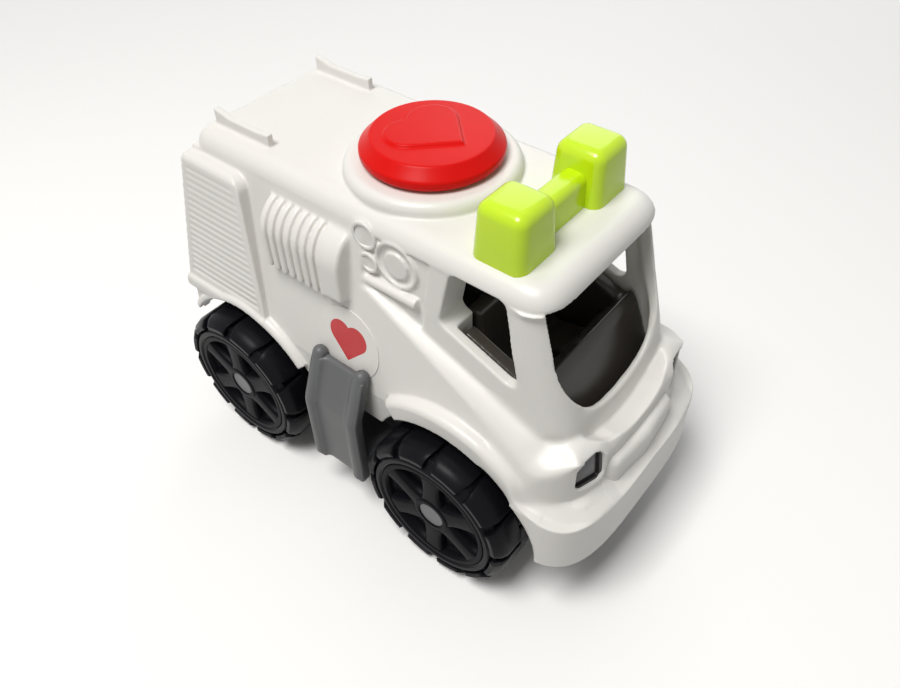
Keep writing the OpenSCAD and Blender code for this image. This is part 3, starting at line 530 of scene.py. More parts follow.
stickerFinish = {
    "colour": (0.78, 0.765, 0.735), "shade": (0.75, 0.73, 0.70),
    "cloudScale": 120, "skinScale": 5200, "rough": (0.32, 0.42), "bump": 0.08,
}
printFinish = {
    "colour": (0.60, 0.030, 0.035), "shade": (0.52, 0.022, 0.028),
    "cloudScale": 300, "skinScale": 5200, "rough": (0.32, 0.42), "bump": 0.08,
}
screwFinish = {
    "colour": (0.50, 0.50, 0.51), "shade": (0.42, 0.42, 0.44),
    "cloudScale": 500, "skinScale": 3000, "rough": (0.25, 0.4), "bump": 0.2, "metal": 1,
}
# the lamp rim's near-black colour is painted shade: it stands in for the shadow inside the lamp recess, over the lamp's
# own grey
lampShadeFinish = {
    "colour": (0.018, 0.017, 0.016), "shade": (0.012, 0.011, 0.011),
    "cloudScale": 90, "skinScale": 2200, "rough": (0.28, 0.38), "bump": 0.15, "shine": 0.35,
}
lampLensFinish = {
    "colour": (0.095, 0.093, 0.104), "shade": (0.075, 0.073, 0.084),
    "cloudScale": 90, "skinScale": 2200, "rough": (0.22, 0.32), "bump": 0.12,
}

shellWhite = mouldedPlastic("shellWhite", shellFinish)
chassisGrey = mouldedPlastic("chassisGrey", chassisFinish)
interiorDark = mouldedPlastic("interiorDark", interiorFinish)
barLime = mouldedPlastic("barLime", barFinish)
capRed = mouldedPlastic("capRed", capFinish)
tyreBlack = mouldedPlastic("tyreBlack", tyreFinish)
hubBlack = mouldedPlastic("hubBlack", hubFinish)
axleGrey = mouldedPlastic("axleGrey", axleFinish)
stickerFilm = mouldedPlastic("stickerFilm", stickerFinish)
stickerPrint = mouldedPlastic("stickerPrint", printFinish)
screwSteel = mouldedPlastic("screwSteel", screwFinish)
# painted shade for the rims of the lamp recesses
lampPaintedShade = mouldedPlastic("lampPaintedShade", lampShadeFinish)
lampGrey = mouldedPlastic("lampGrey", lampLensFinish)
print("finishes made")


# mouldings of the vehicle; zones in mm, and front is how much further back the nose goes

stepZone = {"low": (-18, 33.5, 10), "high": (8, 50, 60), "margin": 1.5, "rounds": 22, "bothSides": True}
noseZone = {"low": (40, -34, 61), "high": (72, 34, 67), "margin": 2.0, "rounds": 80}
screenZone = {"low": (48, 12, 64), "high": (66, 30, 84), "margin": 2, "rounds": 14, "bothSides": True}
lampZone = {"low": (46, 30, 45.5), "high": (72, 36, 64), "margin": 3, "rounds": 110, "bothSides": True}
barEndZone = {"low": (66, 16, 39), "high": (74, 22.5, 53), "margin": 1.2, "rounds": 30, "bothSides": True}
bulgeEndZone = {"low": (-9, 25.5, 74), "high": (0.5, 44, 103), "margin": 1.2, "rounds": 60, "bothSides": True}
shoulderZone = {"low": (-4, 20, 58), "high": (60, 40, 82), "margin": 3, "rounds": 8, "bothSides": True}
chassisSoft = {
    "voxel": 0.5 * mm, "quickVoxel": 0.8 * mm, "rounds": 8, "triangles": 90000,
    "zones": [stepZone], "front": 2.8,
}
shellSoft = {
    "voxel": 0.34 * mm, "quickVoxel": 0.8 * mm, "rounds": 5, "triangles": 190000,
    "zones": [lampZone, noseZone, screenZone, barEndZone, bulgeEndZone, shoulderZone], "front": 0.0,
}
interiorSoft = {"voxel": 0.5 * mm, "quickVoxel": 0.8 * mm, "rounds": 30, "triangles": 70000}
capSoft = {"voxel": 0.3 * mm, "quickVoxel": 0.6 * mm, "rounds": 5, "triangles": 80000}

for node, name, soft, material, slot, body in [
    ("body_shell", "shellMoulding", shellSoft, shellWhite, "shell_white", "vehicle"),
    ("chassis", "chassisMoulding", chassisSoft, chassisGrey, "chassis_grey", "vehicle"),
    ("cab_interior", "cabMoulding", interiorSoft, interiorDark, "interior_dark", "vehicle"),
    ("roof_cap", "roofCapMoulding", capSoft, capRed, "cap_red", "cap"),
]:
    piece = softCopy(node, name, soft)
    paint(piece, material)
    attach(piece, body)
    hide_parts(node)
print("mouldings done")

for node in ("front_axle", "rear_axle"):
    paint(nodes[node], axleGrey)


# pieces that are rounder than their solids

def roundBlock(name, low, high, topInset, radius, segments=6):
    # a box that narrows to its top, with all its edges rounded
    bm = bmesh.new()
    corners = []
    for z, inset in ((low[2], 0.0), (high[2], topInset)):
        for x, y in ((low[0] + inset, low[1] + inset), (high[0] - inset, low[1] + inset),
                     (high[0] - inset, high[1] - inset), (low[0] + inset, high[1] - inset)):
            corners.append(bm.verts.new((x, y, z)))
    for loop in ((3, 2, 1, 0), (4, 5, 6, 7), (0, 1, 5, 4), (1, 2, 6, 5), (2, 3, 7, 6), (3, 0, 4, 7)):
        bm.faces.new([corners[i] for i in loop])
    bmesh.ops.recalc_face_normals(bm, faces=bm.faces)
    bmesh.ops.bevel(
        bm, geom=list(bm.edges), offset=radius, offset_type="OFFSET", segments=segments,
        profile=0.5, affect="EDGES", clamp_overlap=True,
    )
    return meshObject(name, bm)


def bowedBar(name, sizes):
    # a ball drawn out to both sides and upwards, then bowed about the middle
    bm = bmesh.new()
    bmesh.ops.create_uvsphere(bm, u_segments=48, v_segments=24, radius=sizes["radius"])
    middle, rise = (sizes["low"] + sizes["high"]) / 2, (sizes["high"] - sizes["low"]) / 2
    none = 1e-7
    for vert in bm.verts:
        x, y, z = vert.co
        y += math.copysign(sizes["half"], y) if abs(y) > none else 0.0
        z += math.copysign(rise, z) if abs(z) > none else 0.0
        vert.co = (sizes["x"] + x - y * y / (2 * sizes["bow"]), y, middle + z)
    # extra rows along the straight part let it follow the bow
    long = [edge for edge in bm.edges if abs(edge.verts[0].co.y - edge.verts[1].co.y) > sizes["half"] / 2]
    bmesh.ops.subdivide_edges(bm, edges=long, cuts=8, use_grid_fill=True)
    bm.normal_update()
    return meshObject(name, bm)


def peg(name, centre, radius, bottom, top, steps=32):
    bm = bmesh.new()
    bmesh.ops.create_cone(
        bm, cap_ends=True, segments=steps, radius1=radius, radius2=radius, depth=top - bottom,
        matrix=Matrix.Translation((centre[0], centre[1], (top + bottom) / 2)),
    )
    return meshObject(name, bm)


barSizes = {
    "blockLength": 15.1 * mm, "blockWidth": 15.3 * mm, "topInset": 1.0 * mm, "round": 2.9 * mm,
    "saddleLength": 8.0 * mm, "saddleHeight": 8.8 * mm, "saddleInset": 0.6 * mm, "saddleRound": 2.4 * mm,
    "pegRadius": 2.4 * mm, "roof": 104 * mm, "sink": 3.2 * mm,
}
barLow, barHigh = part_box("light_bar")
barX = (barLow[0] + barHigh[0]) / 2
barFoot = barSizes["roof"] - barSizes["sink"]
blockHalf, saddleHalf = barSizes["blockLength"] / 2, barSizes["saddleLength"] / 2
parts = []
for side in (-1, 1):
    edge = barHigh[1] if side > 0 else barLow[1]
    inner = edge - side * barSizes["blockWidth"]
    parts.append(roundBlock(
        "lightBlock", (barX - blockHalf, min(edge, inner), barFoot), (barX + blockHalf, max(edge, inner), barHigh[2]),
        barSizes["topInset"], barSizes["round"],
    ))
    parts.append(peg("barPeg", (barX, (edge + inner) / 2), barSizes["pegRadius"], barLow[2], barSizes["roof"]))
parts.append(roundBlock(
    "saddle", (barX - saddleHalf, barLow[1] + barSizes["blockWidth"] / 2, barFoot),
    (barX + saddleHalf, barHigh[1] - barSizes["blockWidth"] / 2, barSizes["roof"] + barSizes["saddleHeight"]),
    barSizes["saddleInset"], barSizes["saddleRound"],
))
lightBar = joinMeshes("lightBarMoulding", parts, [barLime])
smoothShade(lightBar, 40)
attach(lightBar, "vehicle")
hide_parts("light_bar")

noseBarSizes = {
    "radius": 2.7 * mm, "x": 70.2 * mm, "half": 12.6 * mm, "low": 43.6 * mm, "high": 48.8 * mm, "bow": 70 * mm,
}
noseBar = bowedBar("noseBarForm", noseBarSizes)
paint(noseBar, shellWhite)
smoothShade(noseBar)
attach(noseBar, "vehicle")
print("light bar and nose bar done")

# spots are x, y, z and radius in mm
gaugeSizes = {
    "rim": 0.95 * mm, "lift": 0.5 * mm, "sink": 1 * mm, "round": 0.3 * mm, "steps": 64,
    "spots": [(1.0, 26.42, 97.7, 4.0), (2.0, 26.69, 89.9, 3.0)],
}
for sideName, side in sides:
    rims = []
    for x, y, z, radius in gaugeSizes["spots"]:
        outer, inner = radius * mm, radius * mm - gaugeSizes["rim"]
        top, foot, edge = -gaugeSizes["lift"], gaugeSizes["sink"], gaugeSizes["round"]
        loop = fillet([(outer, foot, 0), (outer, top, edge), (inner, top, edge), (inner, foot, 0)])
        rims.append(lathe("gaugeRim", loop, Vector((x, side * y, z)) * mm, side, gaugeSizes["steps"]))
    gaugeRims = joinMeshes("gaugeRims_" + sideName, rims, [shellWhite])
    smoothShade(gaugeRims, 50)
    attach(gaugeRims, "vehicle")

# the path is y, z and corner radius in mm
stepRailSizes = {
    "radius": 2.2 * mm, "behindAxle": 37.4 * mm, "apart": 16.0 * mm, "steps": 20, "tip": 0.02 * mm,
    "endAngles": (90, 65, 40, 20), "path": [(41.1, 17.4, 0), (41.1, 41, 7), (35.3, 55.2, 0)],
}


def roundTube(name, x, side, path, sizes):
    # a tube with round ends along a path in Y and Z
    radius, steps = sizes["radius"], sizes["steps"]
    line = [Vector((side * y, z)) * mm for y, z in path]
    start, end = (line[0] - line[1]).normalized(), (line[-1] - line[-2]).normalized()
    angles = [math.radians(angle) for angle in sizes["endAngles"]]
    rings = [(line[0] + start * radius * math.sin(a), -start, radius * math.cos(a)) for a in angles]
    for i, point in enumerate(line):
        ahead = (line[min(i + 1, len(line) - 1)] - line[max(i - 1, 0)]).normalized()
        rings.append((point, ahead, radius))
    rings += [(line[-1] + end * radius * math.sin(a), end, radius * math.cos(a)) for a in reversed(angles)]
    bm = bmesh.new()
    loops = []
    for point, ahead, size in rings:
        size = max(size, sizes["tip"])
        loop = []
        for k in range(steps):
            turn = math.tau * k / steps
            out = size * math.sin(turn)
            loop.append(bm.verts.new((x + size * math.cos(turn), point.x - ahead.y * out, point.y + ahead.x * out)))
        loops.append(loop)
    skin(bm, loops)
    bm.faces.new(loops[0])
    bm.faces.new(loops[-1])
    bmesh.ops.recalc_face_normals(bm, faces=bm.faces)
    return meshObject(name, bm)


axleLow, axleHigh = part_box("front_axle")
stepX = (axleLow[0] + axleHigh[0]) / 2 - stepRailSizes["behindAxle"]
for sideName, side in sides:
    path = fillet(stepRailSizes["path"], 10)
    rails = [
        roundTube("stepRail", stepX + end * stepRailSizes["apart"] / 2, side, path, stepRailSizes) for end in (-1, 1)
    ]
    stepRails = joinMeshes("stepRails_" + sideName, rails, [chassisGrey])
    smoothShade(stepRails)
    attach(stepRails, "vehicle")
print("gauge rims and step rails done")

# front, lens and back are depths behind the face of the nose; rings are insets and depths
lampSizes = {
    "y": 21.8 * mm, "z": 53.05 * mm, "width": 9.3 * mm, "height": 11.2 * mm, "lean": 0.22, "leastRound": 0.4 * mm,
    "rounds": {"bottomInner": 1.6 * mm, "bottomOuter": 1.6 * mm, "topOuter": 4.2 * mm, "topInner": 1.8 * mm},
    "rim": 1.0 * mm, "front": 0.7 * mm, "lens": 1.7 * mm, "back": 2.6 * mm,
    "rimRound": 0.3 * mm, "lensOverlap": 0.1 * mm, "lensSteps": (0.6 * mm, 1.2 * mm), "lensDome": 0.1 * mm,
}


def noseX(y):
    # the face of the nose at a distance from its middle
    nose = frontForm["nose"]
    return (nose["front"] - nose["back"] - float(roundedFront(y / mm, nose))) * mm


def lampOutline(inset):
    width, height = lampSizes["width"] / 2 - inset, lampSizes["height"] / 2 - inset
    corners = {"bottomInner": (-width, -height), "bottomOuter": (width, -height),
               "topOuter": (width, height), "topInner": (-width, height)}
    points = []
    for corner, (u, v) in corners.items():
        points.append((u, v, max(lampSizes["rounds"][corner] - inset * 0.6, lampSizes["leastRound"])))
    return fillet(points, 6)


def lampPiece(name, side, rings, solid):
    # follows the face of the nose and leans back above its middle
    bm = bmesh.new()
    loops = []
    for inset, depth in rings:
        loop = []
        for u, v in lampOutline(inset):
            y = lampSizes["y"] + u
            x = noseX(y) - depth - lampSizes["lean"] * max(v, 0)
            loop.append(bm.verts.new((x, side * y, lampSizes["z"] + v)))
        loops.append(loop)
    skin(bm, loops, closed=not solid)
    if solid:
        bm.faces.new(loops[0])
        bm.faces.new(loops[-1])
    bmesh.ops.recalc_face_normals(bm, faces=bm.faces)
    return meshObject(name, bm)


rimWidth, rimFront, lampBack = lampSizes["rim"], lampSizes["front"], lampSizes["back"]
lensEdge, lensDepth = rimWidth - lampSizes["lensOverlap"], lampSizes["lens"]
rimRings = [
    (0, lampBack), (0, rimFront), (rimWidth * 0.5, rimFront), (rimWidth, rimFront + lampSizes["rimRound"]),
    (rimWidth, lampBack),
]
lensRings = [
    (lensEdge, lampBack), (lensEdge, lensDepth + lampSizes["rimRound"]),
    (rimWidth + lampSizes["lensSteps"][0], lensDepth),
    (rimWidth + lampSizes["lensSteps"][1], lensDepth - lampSizes["lensDome"]),
]
for sideName, side in sides:
    # the rim round each lamp is painted near black as painted shade of the recess; the lens keeps the lamp's own grey
    rim = lampPiece("lampRim_" + sideName, side, rimRings, False)
    lens = lampPiece("lampLens_" + sideName, side, lensRings, True)
    for piece, material in ((rim, lampPaintedShade), (lens, lampGrey)):
        paint(piece, material)
        smoothShade(piece, 40)
        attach(piece, "vehicle")
print("lamps done")


# wheels

# rounds are the corner radii of the outline in mm
tyreSizes = {
    "outerRadius": 24.6 * mm, "seatRadius": 18.3 * mm, "lugRadius": 21.0 * mm, "width": 17 * mm,
    "treadDepth": 1.7 * mm, "notchDepth": 1.5 * mm, "lip": 0.7 * mm, "face": 0.15 * mm, "slope": 0.9 * mm,
    "back": 0.3 * mm, "rounds": (0.3, 0.3, 0.25, 0.4, 0.6, 0.6, 0.6, 0.4),
}
treadSizes = {
    "count": 12, "grooveWidth": 1.3 * mm, "notchWidth": 3.4 * mm, "notchReach": 4.2 * mm, "shoulder": 2.2 * mm,
    "rowShare": 0.55, "sink": 0.5 * mm, "lugInset": 0.06 * mm, "edgeInset": 0.02 * mm, "lugDepth": 2 * mm,
    "footDepth": 2.4 * mm, "bevel": 0.3 * mm, "bevelAngle": 50, "steps": 7,
}


def outline(corners, rounds):
    return fillet([(radius, depth, corner * mm) for (radius, depth), corner in zip(corners, rounds)])


def tyreCarcass(name, centre, side):
    t = tyreSizes
    base = t["outerRadius"] - t["treadDepth"]
    seat, lug, width, notch = t["seatRadius"], t["lugRadius"], t["width"], t["notchDepth"]
    loop = outline([
        (seat, t["lip"]), (seat + t["lip"], t["face"]), (lug - t["slope"], t["face"]), (lug, notch),
        (base, notch + t["slope"]), (base, width - notch - t["slope"]),
        (lug, width - t["back"]), (seat, width - t["back"]),
    ], t["rounds"])
    return lathe(name, loop, centre, side)


def treadBlock(name, side, outerRow):
    # one block about the axle; its sides open towards the shoulder
    t = treadSizes
    radius, lug, width = tyreSizes["outerRadius"], tyreSizes["lugRadius"], tyreSizes["width"]
    low = radius - tyreSizes["treadDepth"] - t["sink"]
    split = width * t["rowShare"]
    bevel = t["shoulder"]
    if outerRow:
        profile = [(lug, t["lugInset"]), (radius - bevel, t["edgeInset"]), (radius - 0.3 * bevel, 0.7 * bevel),
                   (radius, 1.6 * bevel), (radius, split * 0.6), (radius, split)]
        inner = [(lug, t["lugDepth"]), (low, t["footDepth"]), (low, 0.9 * bevel + t["lugDepth"]),
                 (low, 1.6 * bevel + t["lugDepth"] / 2), (low, split * 0.6), (low, split)]
    else:
        profile = [(radius, split), (radius, width - 1.6 * bevel), (radius - 0.3 * bevel, width - 0.7 * bevel),
                   (radius - bevel, width - t["edgeInset"]), (lug, width - t["lugInset"])]
        inner = [(low, split), (low, width - 1.6 * bevel), (low, width - 1.2 * bevel),
                 (low, width - t["footDepth"]), (lug, width - t["lugDepth"])]
    pitch = math.tau / t["count"]
    steps = t["steps"]

    def halfAngle(point):
        edge = point[1] if outerRow else width - point[1]
        near = max(0.0, 1 - edge / t["notchReach"])
        gap = t["grooveWidth"] + (t["notchWidth"] - t["grooveWidth"]) * near
        return pitch / 2 - gap / 2 / radius

    bm = bmesh.new()

    def grid(points):
        rows = []
        for outer, (r, depth) in zip(profile, points):
            half = halfAngle(outer)
            line = []
            for i in range(steps + 1):
                angle = -half + 2 * half * i / steps
                line.append(bm.verts.new((r * math.cos(angle), -side * depth, r * math.sin(angle))))
            rows.append(line)
        return rows

    top, floor = grid(profile), grid(inner)
    last = len(profile) - 1
    for j in range(last):
        for i in range(steps):
            bm.faces.new((top[j][i], top[j][i + 1], top[j + 1][i + 1], top[j + 1][i]))
            bm.faces.new((floor[j][i], floor[j + 1][i], floor[j + 1][i + 1], floor[j][i + 1]))
        for i in (0, steps):
            bm.faces.new((top[j][i], top[j + 1][i], floor[j + 1][i], floor[j][i]))
    for j in (0, last):
        for i in range(steps):
            bm.faces.new((top[j][i], floor[j][i], floor[j][i + 1], top[j][i + 1]))
    bmesh.ops.recalc_face_normals(bm, faces=bm.faces)
    obj = meshObject(name, bm)
    return bevelEdges(obj, t["bevel"], t["bevelAngle"])


hubSizes = {
    "rimRadius": 18.22 * mm, "rimThickness": 2.0 * mm, "webDepth": 2.9 * mm, "webThickness": 2 * mm,
    "bossRadius": 5.9 * mm, "boreRadius": 4.08 * mm, "length": 15.8 * mm, "lip": 0.45 * mm,
    "boreEase": (0.35 * mm, 0.3 * mm), "bossDraft": 0.5 * mm, "rimDraft": 0.6 * mm, "rimEase": (0.5 * mm, 0.8 * mm),
    "rounds": (0, 0.1, 0.7, 1.2, 1.4, 0.3, 0.3, 0.35, 0.3, 0.3, 0.6, 0.8, 0.3, 0),
}
spokeSizes = {
    "count": 6, "start": math.pi / 6, "tops": (0.75 * mm, 0.65 * mm), "widths": (8.0 * mm, 5.6 * mm), "flare": 3,
    "sections": 6, "bossOverlap": 1 * mm, "footSink": 0.6 * mm, "edgeDrop": 0.5 * mm, "shares": (0.62, 0.5, 0.4),
    "bevel": 0.35 * mm, "bevelAngle": 25,
}


def hubDisc(name, centre, side):
    h = hubSizes
    rim, inner = h["rimRadius"], h["rimRadius"] - h["rimThickness"]
    web, back = h["webDepth"], h["webDepth"] + h["webThickness"]
    boss, bore, length, lip = h["bossRadius"], h["boreRadius"], h["length"], h["lip"]
    loop = outline([
        (bore, lip + h["boreEase"][1]), (bore + h["boreEase"][0], lip), (boss, lip),
        (boss + h["bossDraft"], web), (inner - h["rimDraft"], web), (inner, lip + h["rimEase"][1]),
        (inner + h["rimEase"][0], lip), (rim, lip), (rim, length), (inner, length), (inner, back), (boss, back),
        (boss, length), (bore, length),
    ], h["rounds"])
    return lathe(name, loop, centre, side)


def spoke(name, side):
    # a rib from the boss to the rim, widest at both ends
    s = spokeSizes
    start = hubSizes["bossRadius"] - s["bossOverlap"]
    end = hubSizes["rimRadius"] - hubSizes["rimThickness"] / 2
    foot = hubSizes["webDepth"] + s["footSink"]
    wide, waist = s["widths"]
    footShare, edgeShare, topShare = s["shares"]
    bm = bmesh.new()
    sections = []
    for k in range(s["sections"] + 1):
        t = k / s["sections"]
        radius = start + (end - start) * t
        width = waist + (wide - waist) * abs(2 * t - 1) ** s["flare"]
        top = s["tops"][0] + (s["tops"][1] - s["tops"][0]) * t
        half = [(footShare, foot), (edgeShare, top + s["edgeDrop"]), (topShare, top)]
        shape = [(-share, depth) for share, depth in half] + half[::-1]
        sections.append([bm.verts.new((radius, -side * depth, share * width)) for share, depth in shape])
    skin(bm, sections)
    bm.faces.new(sections[0])
    bm.faces.new(sections[-1])
    bmesh.ops.recalc_face_normals(bm, faces=bm.faces)
    return bevelEdges(meshObject(name, bm), s["bevel"], s["bevelAngle"])


for wheel in wheelNames:
    side = -1 if wheel.endswith("right") else 1
    low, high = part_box("tyre_" + wheel)
    centre = Vector(((low[0] + high[0]) / 2, (high[1] if side > 0 else low[1]), (low[2] + high[2]) / 2))
    parts = [tyreCarcass("carcass_" + wheel, centre, side)]
    for outerRow in (True, False):
        block = treadBlock("block_" + wheel, side, outerRow)
        runTree(block, ring, {
            "Count": treadSizes["count"], "Centre": centre,
            "Start": math.pi / treadSizes["count"] if outerRow else 0.0, "Material": tyreBlack,
        })
        parts.append(block)
    tyre = joinMeshes("tyre_" + wheel + "_rubber", parts, [tyreBlack])
    smoothShade(tyre, 35)
    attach(tyre, "wheel_" + wheel)
    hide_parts("tyre_" + wheel)

    rib = spoke("spoke_" + wheel, side)
    runTree(rib, ring, {
        "Count": spokeSizes["count"], "Centre": centre, "Start": spokeSizes["start"], "Material": hubBlack,
    })
    hub = joinMeshes("hub_" + wheel + "_disc", [hubDisc("disc_" + wheel, centre, side), rib], [hubBlack])
    smoothShade(hub, 35)
    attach(hub, "wheel_" + wheel)
    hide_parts("hub_" + wheel)
print("wheels done")


# flank stickers

stickerSizes = {"heart": 13.6 * mm, "lobeShare": 0.293, "dropShare": 0.04, "lift": 0.02 * mm, "arcSteps": 20}


def heartLoop(sizes):
    # two arcs and a point, tip down, centred on its own middle
    lobe = sizes["heart"] * sizes["lobeShare"]
    reach = lobe * math.sqrt(0.5)
    loop = []
    for x, first in ((reach, -45), (-reach, 45)):
        for k in range(sizes["arcSteps"] + 1):
            angle = math.radians(first + 180 * k / sizes["arcSteps"])
            loop.append((x + lobe * math.cos(angle), reach + lobe * math.sin(angle)))
    loop.append((0.0, -2 * reach))
    return [(x, y - sizes["heart"] * sizes["dropShare"]) for x, y in loop]


for sideName, side in sides:
    node = "sticker_" + sideName
    paint(nodes[node], stickerFilm)
    # the outer face of the disc gives its centre and its lean
    faces = [face for face in nodes[node].data.polygons if face.normal.y * side > 0.9]
    area = sum(face.area for face in faces)
    out = sum((face.normal * face.area for face in faces), Vector()).normalized()
    centre = sum((face.center * face.area for face in faces), Vector()) / area
    up = Vector((0, -out.z * side, abs(out.y)))
    along = Vector((-side, 0, 0))
    bm = bmesh.new()
    verts = []
    for x, y in heartLoop(stickerSizes):
        verts.append(bm.verts.new(centre + along * x + up * y + out * stickerSizes["lift"]))
    bm.faces.new(verts)
    bmesh.ops.remove_doubles(bm, verts=bm.verts, dist=weldDistance / 2)
    bm.normal_update()
    for face in bm.faces:
        if face.normal.dot(out) < 0:
            face.normal_flip()
    bmesh.ops.triangulate(bm, faces=bm.faces)
    heart = meshObject("printedHeart_" + sideName, bm)
    paint(heart, stickerPrint)
    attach(heart, "vehicle")
print("stickers done")


# chassis screws under the floor

screwSizes = {
    "headRadius": 3.0 * mm, "headHeight": 1.8 * mm, "flatShare": 0.7, "roundShare": 0.93, "roundDepth": 0.35 * mm,
    "sideDepth": 1.0 * mm, "shankRadius": 1.5 * mm, "tipLength": 1 * mm, "tipRadius": 0.3 * mm, "steps": 32,
    "recess": 1.1 * mm, "slotLength": 3.4 * mm, "slotWidth": 0.8 * mm,
}


def screwShape(name, length):
    # pan head with a cross recess; the head's lower face is at the bottom of the piece
    s = screwSizes
    head, shank = s["headRadius"], s["shankRadius"]
    profile = [
        (0.0, 0.0), (head * s["flatShare"], 0.0), (head * s["roundShare"], s["roundDepth"]), (head, s["sideDepth"]),
        (head, s["headHeight"]), (shank, s["headHeight"]), (shank, length - s["tipLength"]), (s["tipRadius"], length),
    ]
    bm = bmesh.new()
    verts = [bm.verts.new((r, 0, z)) for r, z in profile]
    edges = [bm.edges.new(pair) for pair in zip(verts, verts[1:])]
    bmesh.ops.spin(
        bm, geom=verts + edges, cent=(0, 0, 0), axis=(0, 0, 1), angle=math.tau, steps=s["steps"], use_duplicate=False,
    )
    bmesh.ops.remove_doubles(bm, verts=bm.verts, dist=weldDistance / 2)
    bmesh.ops.holes_fill(bm, edges=bm.edges)
    bmesh.ops.recalc_face_normals(bm, faces=bm.faces)
    obj = meshObject(name, bm)
    depth = 2 * s["recess"]
    for slot in ((s["slotLength"], s["slotWidth"], depth), (s["slotWidth"], s["slotLength"], depth)):
        bar = bmesh.new()
        bmesh.ops.create_cube(bar, size=1)
        bmesh.ops.scale(bar, vec=Vector(slot), verts=bar.verts)
        cutter = meshObject("recess", bar)
        cut = obj.modifiers.new("recess", "BOOLEAN")
        cut.object = cutter
        cut.operation = "DIFFERENCE"
        bakeModifiers(obj)
        cutMesh = cutter.data
        bpy.data.objects.remove(cutter)
        bpy.data.meshes.remove(cutMesh)
    return obj


def islands(node):
    # boxes of the separate solids in a node
    mesh = nodes[node].data
    bm = bmesh.new()
    bm.from_mesh(mesh)
    bmesh.ops.remove_doubles(bm, verts=bm.verts, dist=weldDistance)
    left = set(bm.verts)
    boxes = []
    while left:
        todo = [left.pop()]
        seen = list(todo)
        while todo:
            vert = todo.pop()
            for edge in vert.link_edges:
                other = edge.other_vert(vert)
                if other in left:
                    left.remove(other)
                    todo.append(other)
                    seen.append(other)
        low = Vector([min(v.co[i] for v in seen) for i in range(3)])
        high = Vector([max(v.co[i] for v in seen) for i in range(3)])
        boxes.append((low, high))
    bm.free()
    return sorted(boxes, key=lambda box: (round(box[0].x, 5), box[0].y))


screwBoxes = islands("chassis_screws")
screws = screwShape("chassisScrews", screwBoxes[0][1].z - screwBoxes[0][0].z)
feet = [Vector(((a.x + b.x) / 2, (a.y + b.y) / 2, a.z)) for a, b in screwBoxes]
runTree(screws, spots, {**dict(zip(spotLabels, feet)), "Material": screwSteel})
smoothShade(screws, 35)
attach(screws, "vehicle")
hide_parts("chassis_screws")
print("screws done")


# floor, light and camera

floorSizes = {
    "half": 4.0, "drop": 0.05 * mm, "runOut": (0.30, 1.0), "cloudScale": 3, "rough": 0.7, "shine": 0.2,
    "colour": (0.97, 0.968, 0.965), "shade": (0.95, 0.947, 0.943), "bounce": (0.42, 0.415, 0.41),
}


def seenDirectly(tree):
    # 1 for what the camera sees, also in a reflection or through glass
    path = tree.nodes.new("ShaderNodeLightPath")
    direct = mathNode(tree, "MAXIMUM", path.outputs["Is Camera Ray"], path.outputs["Is Glossy Ray"])
    return mathNode(tree, "MAXIMUM", direct, path.outputs["Is Transmission Ray"])


def floorMaterial():
    # white to the eye, but it throws less light up on the object
    material = bpy.data.materials.new("paleFloor")
    material.use_nodes = True
    tree = material.node_tree
    link = tree.links.new
    shader = tree.nodes["Principled BSDF"]
    place = tree.nodes.new("ShaderNodeTexCoord")
    cloud = tree.nodes.new("ShaderNodeTexNoise")
    cloud.inputs["Scale"].default_value = floorSizes["cloudScale"]
    tint = tree.nodes.new("ShaderNodeMix")
    tint.data_type = "RGBA"
    tint.inputs["A"].default_value = (*floorSizes["colour"], 1)
    tint.inputs["B"].default_value = (*floorSizes["shade"], 1)
    choose = tree.nodes.new("ShaderNodeMix")
    choose.data_type = "RGBA"
    choose.inputs["A"].default_value = (*floorSizes["bounce"], 1)
    direct = seenDirectly(tree)
    link(place.outputs["Object"], cloud.inputs["Vector"])
    link(cloud.outputs[0], tint.inputs["Factor"])
    link(direct, choose.inputs["Factor"])
    link(tint.outputs["Result"], choose.inputs["B"])
    link(choose.outputs["Result"], shader.inputs["Base Color"])
    shader.inputs["Roughness"].default_value = floorSizes["rough"]
    shader.inputs["Specular IOR Level"].default_value = floorSizes["shine"]
    # far from the vehicle it runs into the white of the world
    far = tree.nodes.new("ShaderNodeVectorMath")
    far.operation = "LENGTH"
    ramp = tree.nodes.new("ShaderNodeMapRange")
    ramp.interpolation_type = "SMOOTHSTEP"
    ramp.inputs["From Min"].default_value, ramp.inputs["From Max"].default_value = floorSizes["runOut"]
    white = tree.nodes.new("ShaderNodeEmission")
    mix = tree.nodes.new("ShaderNodeMixShader")
    link(place.outputs["Object"], far.inputs[0])
    link(far.outputs["Value"], ramp.inputs["Value"])
    link(mathNode(tree, "MULTIPLY", ramp.outputs[0], direct), mix.inputs[0])
    link(shader.outputs[0], mix.inputs[1])
    link(white.outputs[0], mix.inputs[2])
    link(mix.outputs[0], tree.nodes["Material Output"].inputs["Surface"])
    return material


floorMesh = bpy.data.meshes.new("studioFloor")
half = floorSizes["half"]
floorMesh.from_pydata([(-half, -half, 0), (half, -half, 0), (half, half, 0), (-half, half, 0)], [], [(0, 1, 2, 3)])
studioFloor = addObject("studioFloor", floorMesh)
studioFloor.location.z = -floorSizes["drop"]
paint(studioFloor, floorMaterial())
studioFloor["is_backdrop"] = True

worldSizes = {"colour": (1.0, 0.99, 0.97), "strength": 0.26, "seenColour": (1, 1, 1), "seenStrength": 1}
world = bpy.data.worlds.new("studio")
scene.world = world
world.use_nodes = True
sky = world.node_tree
for node in list(sky.nodes):
    sky.nodes.remove(node)
skyOut = sky.nodes.new("ShaderNodeOutputWorld")
skyMix = sky.nodes.new("ShaderNodeMixShader")
sky.links.new(seenDirectly(sky), skyMix.inputs[0])
for socket, colour, strength in ((1, "colour", "strength"), (2, "seenColour", "seenStrength")):
    light = sky.nodes.new("ShaderNodeBackground")
    light.inputs["Color"].default_value = (*worldSizes[colour], 1)
    light.inputs["Strength"].default_value = worldSizes[strength]
    sky.links.new(light.outputs[0], skyMix.inputs[socket])
sky.links.new(skyMix.outputs[0], skyOut.inputs["Surface"])

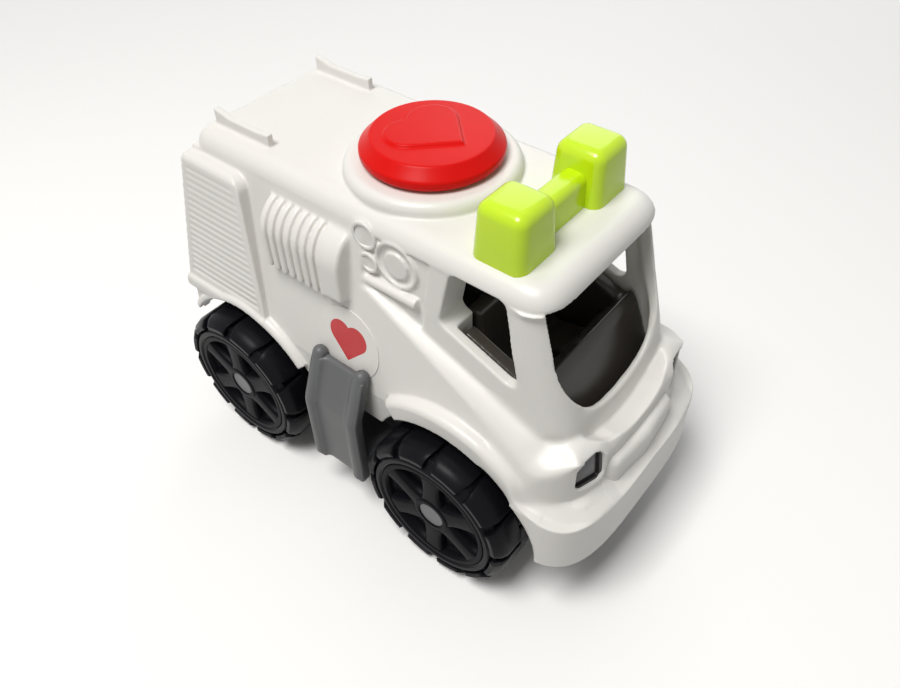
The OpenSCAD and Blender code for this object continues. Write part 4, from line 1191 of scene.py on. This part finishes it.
keyLight = {
    "place": (-0.03, -0.38, 0.96), "target": (0.0, 0.0, 0.05), "size": 0.40, "power": 8.8, "colour": (1.0, 0.985, 0.96),
}
fillLight = {
    "place": (-0.30, 0.75, 0.55), "target": (0.0, 0.0, 0.06), "size": 0.6, "power": 1.5, "colour": (0.97, 0.99, 1.0),
}
for name, sizes in (("keyLight", keyLight), ("fillLight", fillLight)):
    data = bpy.data.lights.new(name, "AREA")
    data.shape = "SQUARE"
    data.size = sizes["size"]
    data.energy = sizes["power"]
    data.color = sizes["colour"]
    lamp = bpy.data.objects.new(name, data)
    scene.collection.objects.link(lamp)
    lamp.location = sizes["place"]
    aim = Vector(sizes["target"]) - Vector(sizes["place"])
    lamp.rotation_euler = aim.to_track_quat("-Z", "Y").to_euler()

# the camera is fitted to the vehicle's edges: turn in degrees, focal length and middle in pixels
shot = {
    "place": (116.785 * mm, -131.796 * mm, 217.789 * mm), "yaw": 39.69, "pitch": 44.70, "roll": -1.34,
    "focalPixels": 802.0, "image": (900, 688), "middle": (456.0, 330.8), "sensor": 36.0,
}
yaw, pitch, roll = (math.radians(shot[key]) for key in ("yaw", "pitch", "roll"))
look = Vector((-math.cos(pitch) * math.sin(yaw), math.cos(pitch) * math.cos(yaw), -math.sin(pitch)))
level = Vector((math.cos(yaw), math.sin(yaw), 0))
upward = level.cross(look)
right = level * math.cos(roll) + upward * math.sin(roll)
up = upward * math.cos(roll) - level * math.sin(roll)
cameraData = bpy.data.cameras.new("photoCamera")
cameraData.sensor_fit = "HORIZONTAL"
cameraData.sensor_width = shot["sensor"]
cameraData.lens = shot["focalPixels"] * shot["sensor"] / shot["image"][0]
cameraData.shift_x = (shot["image"][0] / 2 - shot["middle"][0]) / shot["image"][0]
cameraData.shift_y = (shot["middle"][1] - shot["image"][1] / 2) / shot["image"][0]
cameraData.clip_start = 0.01
camera = bpy.data.objects.new("photoCamera", cameraData)
scene.collection.objects.link(camera)
camera.matrix_world = Matrix((
    (right.x, up.x, -look.x, shot["place"][0]),
    (right.y, up.y, -look.y, shot["place"][1]),
    (right.z, up.z, -look.z, shot["place"][2]),
    (0, 0, 0, 1),
))
scene.camera = camera
scene.view_settings.view_transform = "Standard"
print("studio set")

sizes = {"cad": [list(corner) for corner in cadBox], "visual": [list(corner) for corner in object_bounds()]}
